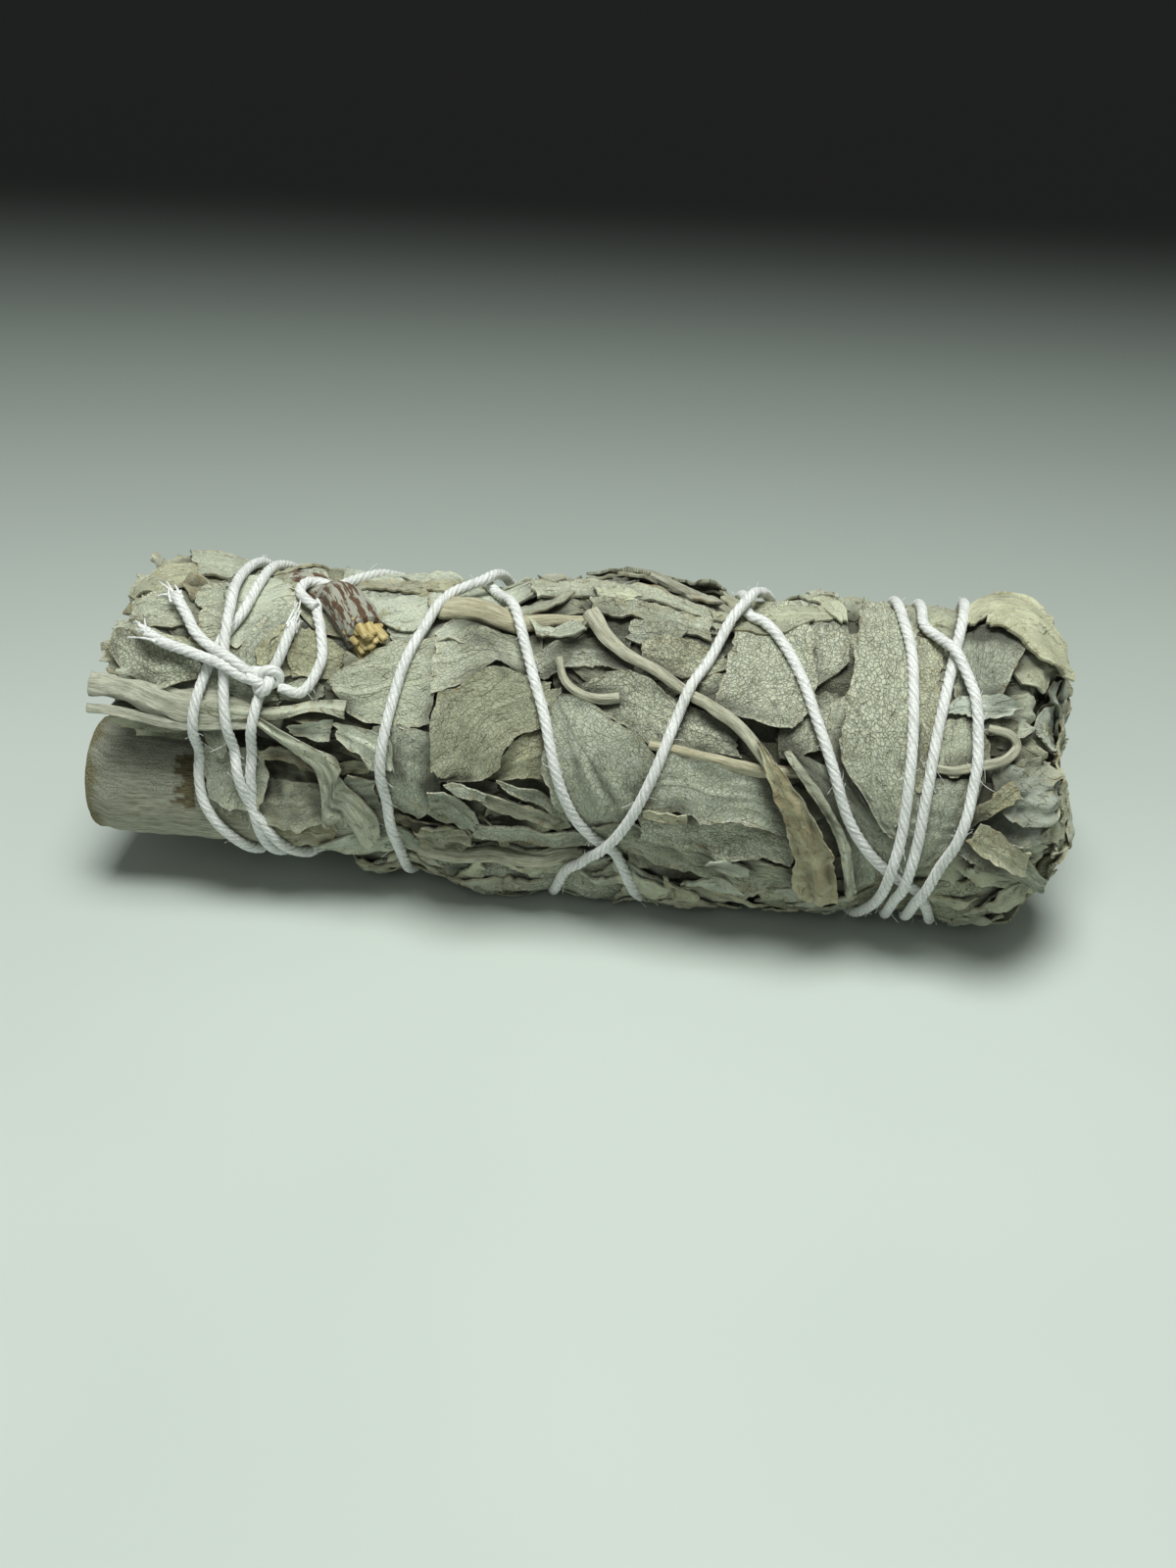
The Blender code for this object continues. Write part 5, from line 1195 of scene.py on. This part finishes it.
# Short crumpled leaves over the tip end, with their free ends standing up.
def tipLeaves():
    rng = np.random.default_rng(23)
    for number in range(tip["round"]):
        if number % 10 == 0:
            refreshMaps()
        t = rng.uniform(tip["from"], tip["to"])
        angle = 2 * math.pi * ((number * 0.618) % 1)
        length, width = rng.uniform(5, 9.5), rng.uniform(3.5, 6.5) * (1.0 if t < 48 else 1.6)
        edges = lanceEdges(t, angle, length, width, rng.uniform(-0.7, 0.7), rng)
        tone = (rng.uniform(0.4, 0.75), 0.15, rng.uniform(0.0, 0.8), rng.uniform(0.0, 0.3))
        leaf = makeLeaf(
            *edges, tone, rng, curl=rng.uniform(0.0, 0.3), ruffle=rng.uniform(0.1, 0.4) if t < 51 else 0.0,
            wave=0.20, torn=0.45, thick=0.24, spacing=0.40, swell=0.15, crumple=0.11,
        )
        sprigParts[sprigOf(t, angle)].append(leaf)
    for number in range(tip["across"]):
        if number % 6 == 0:
            refreshMaps()
        reach, turn = tip["reach"] * math.sqrt((tip["across"] - 0.5 - number) / tip["across"]), 2.4 * number
        across, up = reach * math.cos(turn), reach * math.sin(turn)
        length, width, slant = rng.uniform(6, 10), rng.uniform(4, 6.5), rng.uniform(0, 2 * math.pi)
        edges = lanceEdges(across, up / bundle["girth"], length, width, slant, rng)
        tone = (rng.uniform(0.4, 0.75), 0.15, rng.uniform(0.0, 0.8), rng.uniform(0.0, 0.3))
        leaf = makeLeaf(
            *edges, tone, rng, curl=rng.uniform(0.0, 0.35), wave=0.16, torn=0.5, thick=0.24, spacing=0.36,
            crumple=0.10, onTip=True,
        )
        sprigParts[sprigOf(50.0, turn)].append(leaf)


# Rings of strips at the left end, as (radius, count), from the outside in
endRings = [(14.4, 26), (13.4, 22), (12.3, 19), (10.9, 15), (9.2, 12), (6.8, 9), (4.2, 6)]


# Sideways and upward place of the thick stem's axis, from the bunch's own axis.
def stemCentre():
    return thickStem["offset"] * np.array([-math.cos(thickStem["angle"]), math.sin(thickStem["angle"])])


# Ragged leaf ends that stick out round the left end, clear of the thick stem.
def leftEndLeaves():
    rng = np.random.default_rng(31)
    parts = []
    for ringRadius, count in endRings:
        for number in range(count):
            angle = 2 * math.pi * (number + rng.uniform(0, 0.7)) / count
            spot = np.array([-ringRadius * math.cos(angle), ringRadius * math.sin(angle)])
            besideStem = ringRadius > 9 and -112 < math.degrees(wrapped(angle)) < 24
            if np.linalg.norm(spot - stemCentre()) < 8.8 or besideStem:
                continue
            parts.append(endStrip(ringRadius, angle, rng.uniform(2.6, 6.0), rng.uniform(-46.8, -43.2), rng))
    return parts


# One strip of the left end: a bent sheet round the axis at that radius, waved in and out.
def endStrip(ringRadius, angle, width, end, rng):
    rows, columns = 18, 12
    u, v = np.meshgrid(np.linspace(0, 1, rows), np.linspace(-0.5, 0.5, columns), indexing="ij")
    torn = tornLine(v[0] * width, rng, 0.9, 0.3)
    x = -36.5 + (end + torn[None] + 36.5) * u
    low = 0.5 * underside(np.array(angle))
    r = ringRadius + low + 0.35 * ripple(x, v * width, rng, 3, 8) * (0.2 + u)
    r = r + 0.30 * u**2 * ripple(0.4 * x, v * width, rng, 1.2, 3.0)
    r = r + 0.05 * ripple(x, v * width, rng, 1, 2.5)
    around = angle + v * width / ringRadius
    ring = np.concatenate([fromAxis(x, r, around), fromAxis(x, r - 0.28, around)[:, ::-1]], axis=1)
    flat = np.ones(rows * columns * 2)
    tone, hue, brown = rng.uniform(0.35, 0.7), rng.uniform(0.2, 0.8), rng.uniform(0.0, 0.5) ** 1.5
    marks = {
        "leafPlace": np.stack([twice(x), twice(v * width), flat * rng.uniform(0, 900)], axis=1),
        "leafTint": flat[:, None] * np.array([tone, 0.2, hue, brown]),
        "leafRim": twice(np.exp(-10 * (1 - u))),
        # Painted shade: darker where the strip goes into the bunch and on the inner rings.
        "leafShade": twice(np.clip((1 - u) * 0.9 + 0.05 * (14 - ringRadius), 0, 0.8)),
    }
    return ring.reshape(-1, 3), sheetFaces(rows, 2 * columns), marks


# Small crumpled bits of leaf: a seed, their count, and the ranges of t and of angles in degrees.
def layFragments(seed, count, tRange, angleRange):
    rng = np.random.default_rng(seed)
    for number in range(count):
        if number % 16 == 0:
            refreshMaps()
        t, angle = rng.uniform(*tRange), math.radians(rng.uniform(*angleRange))
        edges = lanceEdges(t, angle, rng.uniform(3.0, 8.5), rng.uniform(1.0, 2.6), rng.normal(0, 0.4), rng)
        if inStemZone(edges):
            continue
        tone = (rng.uniform(0.3, 0.75), 0.15, rng.uniform(0.2, 0.8), rng.uniform(0, 0.7) ** 2)
        leaf = makeLeaf(
            *edges, tone, rng, curl=rng.uniform(0.0, 0.35), wave=0.08, torn=0.5, thick=0.22, spacing=0.40,
            crumple=0.09,
        )
        sprigParts[sprigOf(t, angle)].append(leaf)


coreParts = [makeCore()]
seededLeaves()
fragments = {
    "over the sprigs": (41, 170, (-42, 46), (0, 360)), "along the top": (42, 14, (-20, 34), (84, 112)),
    "low in front": (43, 26, (-24, 36), (-62, -36)), "behind": (44, 26, (-38, 40), (130, 240)),
}
layFragments(*fragments["over the sprigs"])
print("seeded leaves laid")
tipLeaves()
endParts = leftEndLeaves()
print("ends laid")

wrapParts = {}
stemPaths = {}


# A stem's path over what lies there, and its mark on the map: a round ridge along it.
def layStem(name):
    stations, flat = stems[name]["stations"], stems[name]["flat"]
    stemPaths[name] = surfacePath(stations, blurred[1.0])
    curve = smoothCurve(inRadians(stations), 16)
    base = readMap(blurred[1.0], curve[:, 0], curve[:, 1]) + curve[:, 2]
    across = np.array([-0.9, -0.6, -0.3, 0.0, 0.3, 0.6, 0.9])
    run = np.gradient(curve[:, :2] * [1, bundle["girth"]], axis=0)
    run /= np.linalg.norm(run, axis=1)[:, None]
    off = across[None] * curve[:, 3:4]
    t = curve[:, 0:1] - off * run[:, 1:2]
    angle = curve[:, 1:2] + off * run[:, 0:1] / bundle["girth"]
    top = base[:, None] + flat * curve[:, 3:4] * np.sqrt(1 - across[None] ** 2)
    raiseMap(heights, t.ravel(), angle.ravel(), top.ravel())


looseParts = {number: [] for number in range(1, 6)}
crumples = {
    "brown": 0.10, "brownfelt": 0.10, "darkfelt": 0.09, "dark": 0.10, "brownleaf": 0.03, "strap": 0.03,
}
folds = {"brownleaf": 0.16, "strap": 0.14, "brown": 0.10, "brownfelt": 0.10}
strapSheet = {"wave": 0.04, "torn": 0.12, "thick": 0.3, "arch": 0.35}
leafSheet = {"wave": 0.06, "torn": 0.42, "thick": 0.27}
tracedRng = np.random.default_rng(77)
for row in tracedLeaves:
    refreshMaps()
    if isinstance(row, str):
        layStem(row)
        continue
    name, lookName, lift, curl, edgeA, edgeB = row
    edgeA, edgeB = inRadians(edgeA), inRadians(edgeB)
    leaf = makeLeaf(
        edgeA, edgeB, leafLooks[lookName], tracedRng, lift=lift, curl=curl,
        spacing=0.34 if name.startswith("leaf_back") else 0.25, stiff=2.0 if name else 1.0, swell=0.35,
        rise=0.12, ridges=leafRidges.get(name, ()), crumple=crumples.get(lookName, 0.035),
        folds=folds.get(lookName, 0.04), **(strapSheet if lookName == "strap" else leafSheet),
    )
    if name:
        wrapParts[name] = [leaf]
    else:
        looseParts[sprigOf(*(0.5 * (edgeA.mean(axis=0) + edgeB.mean(axis=0))))].append(leaf)
for zone in ("along the top", "low in front", "behind"):
    layFragments(*fragments[zone])
refreshMaps()

# Painted shade on each leaf, by how deep it lies under the pile, less towards the tip end.
cover = blurMap(widened(heights, 1), 0.55)
for marks, t, angle, h in laidLeaves:
    paintedShade = np.clip((readMap(cover, t, angle) - h - 0.22) / 0.9, 0, 1)
    marks["leafShade"] = paintedShade * (1 - 0.6 * smoothStep((t - 40) / 5))
print("traced leaves laid")

for number in range(1, 6):
    makePiece(f"sprigLeaves{number}", sprigParts[number], sageLeaf, "sage_leaf", f"sprig_{number}")
    if looseParts[number]:
        makePiece(f"sprigOuterLeaves{number}", looseParts[number], sageLeafPale, "sage_leaf")
makePiece("innerWad", coreParts + endParts, sageLeaf, "sage_leaf", "sprig_middle")
for name, parts in wrapParts.items():
    words = name.split("_")
    pieceName = words[0] + "".join(word.title() for word in words[1:])
    makePiece(pieceName, parts, sageLeafPale, "sage_leaf_pale", name)
print("leaf pieces made")


# Woody pieces


# The thick stem: grey felt above, bare grain below, a peeled patch, and a worn cut end.
def makeThickStem():
    rng = np.random.default_rng(5)
    x = np.linspace(thickStem["left"], thickStem["right"], 110)
    path = fromAxis(x, stemAxisOffset(x), thickStem["angle"])
    stations = [-49, -47.5] + thickStem["stations"][1:]
    factors = [0.93, 0.985] + thickStem["factors"][1:]
    radii = thickStem["radius"] * np.interp(x, stations, factors)
    ends = {"caps": (0.985, 0.93, 0.8, 0.6, 0.4, 0.2, 0.02), "capDepth": 0.08}
    vertices, faces, marks = makeTube(path, radii, 96, barky(rng, 13, 0.010, 0.02), **ends)
    run = vertices[:, 0]
    up = np.degrees(np.arctan2(vertices[:, 2] - path[0, 2], -(vertices[:, 1] - path[0, 1])))
    felt = np.clip((up - 8 + 9 * ripple(run, up * 0.1, rng, 3, 9)) / 14, 0, 1)
    edge = -39.6 + 0.55 * ripple(up * 0.1, up * 0, rng, 0.8, 3.0)
    patch = ((run > edge) & (run < -37.6) & (up > 2) & (up < 60)).astype(float)
    centre = np.array([path[0, 1], path[0, 2]])
    off = vertices[:, 1:] - centre
    reach = np.linalg.norm(off, axis=1)
    vertices[:, 1:] -= off / np.maximum(reach, 1e-6)[:, None] * (0.22 * patch * (reach > 4))[:, None]
    rim = np.exp(-np.clip(run + 48.9 + 0.3 * ripple(up * 0.1, up * 0, rng, 1, 4), 0, 9) / 0.45)
    marks["stemTint"] = np.stack([felt * (1 - patch), patch, rim * 0.85, rim * 0], axis=1)
    makePiece("thickStem", [(vertices, faces, marks)], thickBark, "stem_bark", "thick_stem")


# A lying stem as one barky tube along its path.
def stemPiece(name):
    stem = stems[name]
    seed, grooves, depth, lumps = stem["bark"]
    path = stemPaths[name]
    shape = barky(np.random.default_rng(seed), grooves, depth, lumps)
    slotName = "stem_bark" if stem["material"] == thickBark else "pale_stem"
    part = makeTube(path[:, :3], path[:, 3], 20, shape, stem["flat"])
    makePiece(name, [part], stem["material"], slotName, stem["node"])


# The broken twig: mottled bark that ends raggedly, with yellow splintered wood out of its end.
def makeBrokenTwig():
    rng = np.random.default_rng(9)
    stations = [
        (-31.0, 100, -1.6, 1.6), (-28.7, 95, -0.7, 1.8), (-25.4, 84, 0.4, 1.95), (-22.8, 72, 0.8, 2.0),
        (-21.0, 63, 0.9, 2.1),
    ]
    path = surfacePath(stations, blurred[0.0])
    shape = barky(rng, 7, 0.05, 0.08)
    bark = makeTube(path[:, :3], path[:, 3], 40, shape, 0.95, caps=(0.9, 0.75), tint=(0, 0, 0, 1))
    makePiece("brokenTwig", [bark], thickBark, "stem_bark", "broken_twig")
    direction = unit(path[-1, :3] - path[-8, :3])
    side = unit(np.cross(direction, [0, 0, 1.0]))
    up = np.cross(side, direction)
    share = np.linspace(0, 0.5, 6)[:, None]
    parts = []
    count = 26
    for number in range(count):
        turn, reach = 2.4 * number, 1.6 * math.sqrt((number + 0.3) / count)
        out = math.cos(turn) * side + math.sin(turn) * up
        root = path[-5, :3] + reach * out
        length = rng.uniform(1.5, 3.4)
        lean = 0.07 * rng.normal(size=3) + 0.08 * reach * out
        points = root + 2 * length * share * (direction + lean * share)
        radii, flat = np.linspace(0.60, rng.uniform(0.25, 0.5), 6), rng.uniform(0.35, 0.8)
        parts.append(makeTube(points, radii, 6, None, flat, caps=(0.3,), capDepth=0.3))
    makePiece("brokenTwigWood", parts, brokenWood, "pale_stem", angle=20)


# Cut stems at the left end, inside the ragged leaves, as (reach from the axis, angle, radius).
def makeEndStems():
    rng = np.random.default_rng(14)
    parts = []
    spots = [
        (10.6, 118, 1.5), (11.2, 150, 1.1), (10.4, 196, 1.5), (11.0, 228, 1.2), (10.4, 272, 1.4),
        (11.2, 300, 1.1), (3.0, 35, 1.6), (3.1, 155, 1.3), (2.6, 268, 1.5), (10.9, 82, 1.2),
        (7.2, 215, 1.0), (7.0, 120, 1.1),
    ]
    for reach, turn, size in spots:
        angle, end = math.radians(turn), rng.uniform(-46.0, -43.2)
        x = np.linspace(-36, end, 24)
        r = reach + 0.25 * np.sin(x * 0.5 + turn)
        path, shape = fromAxis(x, r, angle)[::-1], barky(rng, 6, 0.07, 0.08)
        parts.append(makeTube(path, size, 22, shape, caps=(0.93, 0.7, 0.35, 0.02), capDepth=0.05))
    makePiece("endStems", parts, paleStem, "pale_stem")


makeThickStem()
for pieceName in stems:
    stemPiece(pieceName)
makeBrokenTwig()
makeEndStems()
print("stems made")

# String: radius, pitch of the plies and step along it in mm, and how many sides, fibres and ends
string = {"radius": 0.53, "pitch": 4.2, "step": 0.34, "sides": 18, "fibres": 600, "frayed": 9}


# Heights along a path as a taut string takes them: the highest of the near ones, then their mean.
def tautHeights(values, reach):
    high = np.maximum.reduce([np.roll(values, step) for step in range(-reach, reach + 1)])
    kernel = np.hanning(4 * reach + 3)[1:-1]
    padded = np.concatenate([np.repeat(high[:1], 2 * reach), high, np.repeat(high[-1:], 2 * reach)])
    return np.convolve(padded, kernel / kernel.sum(), "valid")


# In front of the thick stem the string follows the stem's round side, and behind it runs straight
# down to the floor.
def overStem(points):
    centre = stemCentre() + [bundle["shift"][1], bundle["axisHeight"]]
    away = points[:, 1:] - centre
    far = np.linalg.norm(away, axis=1)
    reach = thickStem["radius"] + string["radius"] - 0.02
    turn = np.degrees(np.arctan2(away[:, 1], away[:, 0])) % 360
    share = smoothStep((-16 - points[:, 0]) / 5) * smoothStep((turn - 135) / 30)
    onStem = (turn < 246)[:, None]
    line = 0.62 + 0.40 * (2 - points[:, 1])
    below = np.stack([points[:, 1], np.where(points[:, 1] < 2, line, points[:, 2])], axis=1)
    hull = np.where(onStem, centre + away * (reach / far)[:, None], below)
    points[:, 1:] += share[:, None] * (hull - points[:, 1:])
    return points


# The string lies on the leaves, over its earlier turns by the lift, and never under the floor.
def stringPath(stations, extra=0.0):
    curve = smoothCurve(inRadians(stations), 28)
    over = readMap(blurred[1.0], curve[:, 0], curve[:, 1])
    over = tautHeights(np.minimum(over, over * (1 - underside(curve[:, 1]))), 3)
    points = place(curve[:, 0], curve[:, 1], over + 0.30 + extra + 0.74 * curve[:, 2])
    points = overStem(points)
    points[:, 2] = np.maximum(points[:, 2], string["radius"] + 0.03)
    return resample(points, string["step"])


# Thin threads that fan out of a string's end, bending away by the square of their length.
def frayedEnd(path, rng):
    direction = unit(path[-1] - path[-6])
    parts = []
    for _ in range(string["frayed"]):
        root = path[-3] + 0.3 * rng.normal(size=3)
        lean = 0.35 * rng.normal(size=3)
        share = np.linspace(0, rng.uniform(1.2, 2.6), 7)[:, None]
        points = root + share * direction + lean * share**2 * 0.4
        parts.append(makeTube(points, np.linspace(0.17, 0.07, 7), 6, caps=(0.5, 0.05)))
    return parts


# Loose fibres: short thin hairs that leave the string's surface and bend away.
def looseFibres(path, rng):
    parts = []
    at = rng.integers(5, len(path) - 5, string["fibres"])
    for spot in at:
        along, out = unit(path[spot + 2] - path[spot - 2]), rng.normal(size=3)
        out = unit(out - (out @ along) * along)
        share = np.linspace(0, rng.uniform(0.5, 1.5), 5)[:, None]
        points = path[spot] + 0.5 * out + share * (along * rng.uniform(-1, 1) + 0.45 * out)
        points = points + 0.25 * share**2 * rng.normal(size=3)
        points[:, 2] = np.maximum(points[:, 2], 0.05)
        parts.append(makeTube(points, 0.022, 4, caps=()))
    return parts


# The string along its route, its loose ends, and a knot that is a flattened trefoil curve.
def makeString():
    rng = np.random.default_rng(21)
    path = stringPath(stringRoute)
    section = {
        "sides": string["sides"], "shape": fivePlies, "caps": (0.8, 0.4, 0.05), "pitch": string["pitch"],
    }
    parts = [makeTube(path, string["radius"], **section)]
    for stations in looseEnds:
        parts.append(makeTube(stringPath(stations, 0.1), 0.54, **section))
    t, angle = np.array(knotAt[0]), np.radians(knotAt[1])
    knot = place(t, angle, readMap(blurred[1.0], t, angle) + 1.0)
    s = np.linspace(0, 2 * math.pi, 90)
    x, y = np.sin(s) + 2 * np.sin(2 * s), np.cos(s) - 2 * np.cos(2 * s)
    trefoil = np.stack([x, y, -np.sin(3 * s)], axis=1)
    turned = trefoil @ np.array([[0.62, 0.0, 0.0], [0.0, 0.30, 0.36], [0.0, -0.45, 0.40]])
    parts.append(makeTube(knot + turned * 0.85, 0.54, **section))
    makePiece("cottonString", parts, cotton, "cotton", "string", angle=70)
    loose = looseFibres(path, rng)
    for stations in looseEnds[:3]:
        loose += frayedEnd(stringPath(stations, 0.1), rng)
    makePiece("stringFibres", loose, cotton, "cotton", angle=70)


makeString()
print("string made")


# Floor, light and camera
studio = {"floorSize": 1.6, "overhead": 1.9, "front": 0.18, "world": 0.125}


# The floor: pale and softly mottled, with painted shade that falls off to black behind, by its own depth
# coordinate.
def makeFloor():
    half = studio["floorSize"]
    mesh = bpy.data.meshes.new("floor")
    corners = [(-half, -half, 0), (half, -half, 0), (half, half, 0), (-half, half, 0)]
    mesh.from_pydata(corners, [], [(0, 1, 2, 3)])
    floor = bpy.data.objects.new("floor", mesh)
    bpy.context.scene.collection.objects.link(floor)
    material, tree, shader = newMaterial("floor", 0.55, 0.0, 0.3)
    where = addNode(tree, "ShaderNodeTexCoord").outputs["Object"]
    depth = addNode(tree, "ShaderNodeSeparateXYZ", {0: where}).outputs[1]
    soft = noiseNode(tree, where, 14.0, 2.0)
    colour = mixColour(tree, spread(tree, soft, 0.3, 0.7), (0.555, 0.61, 0.565, 1), (0.585, 0.64, 0.595, 1))
    # Painted shade: the colour darkens with depth behind the bunch and goes black further back.
    colour = mixColour(tree, spread(tree, depth, -0.03, 0.13), colour, (0.32, 0.36, 0.33, 1))
    colour = mixColour(tree, spread(tree, depth, 0.08, 0.24), colour, (0.004, 0.004, 0.004, 1))
    tree.links.new(colour, shader.inputs["Base Color"])
    mesh.materials.append(material)


# Blender's kind of vector, from any three numbers.
def vectorOf(values):
    return Vector([float(v) for v in values])


# A round area light at a place, turned towards the bunch.
def addLight(name, place, size, power, colour):
    data = bpy.data.lights.new(name, "AREA")
    data.shape, data.size, data.energy, data.color = "DISK", size, power, colour
    light = bpy.data.objects.new(name, data)
    light.location = place
    target = np.array([0.0, 0.0, 0.01]) - np.array(place)
    light.rotation_euler = vectorOf(target).to_track_quat("-Z", "Y").to_euler()
    bpy.context.scene.collection.objects.link(light)


makeFloor()
addLight("overhead", (0.02, -0.065, 0.42), 0.22, studio["overhead"], (0.97, 1.0, 0.97))
addLight("front", (-0.1, -0.45, 0.35), 0.40, studio["front"], (0.97, 1.0, 0.99))
world = bpy.data.worlds.new("studio")
world.use_nodes = True
world.node_tree.nodes["Background"].inputs[0].default_value = (0.92, 1.0, 0.95, 1)
world.node_tree.nodes["Background"].inputs[1].default_value = studio["world"]
bpy.context.scene.world = world
bpy.context.scene.view_settings.view_transform = "Standard"

# Camera: azimuth 8 and elevation 32 degrees, 190 mm from the bunch's middle, which falls 55
# pixels above the middle of the 1200 by 1600 frame. The focal length is 1900 of those pixels.
view = {"azimuth": 8.0, "elevation": 32.0, "distance": 0.190, "focal": 1900.0, "above": 55.0}


# The camera's place from azimuth and elevation, pitched up so that the bunch falls below the middle.
def makeCamera():
    turn, rise = math.radians(view["azimuth"]), math.radians(view["elevation"])
    back = vectorOf([math.sin(turn) * math.cos(rise), -math.cos(turn) * math.cos(rise), math.sin(rise)])
    data = bpy.data.cameras.new("camera")
    data.sensor_width = 36.0
    data.lens = view["focal"] / 1600 * 36
    data.clip_start, data.clip_end = 0.005, 20.0
    camera = bpy.data.objects.new("camera", data)
    camera.location = vectorOf([0, 0, 0.0158]) + back * view["distance"]
    pitch = rise + math.atan(view["above"] / view["focal"])
    camera.rotation_euler = (math.pi / 2 - pitch, 0.0, turn)
    bpy.context.scene.collection.objects.link(camera)
    bpy.context.scene.camera = camera


makeCamera()
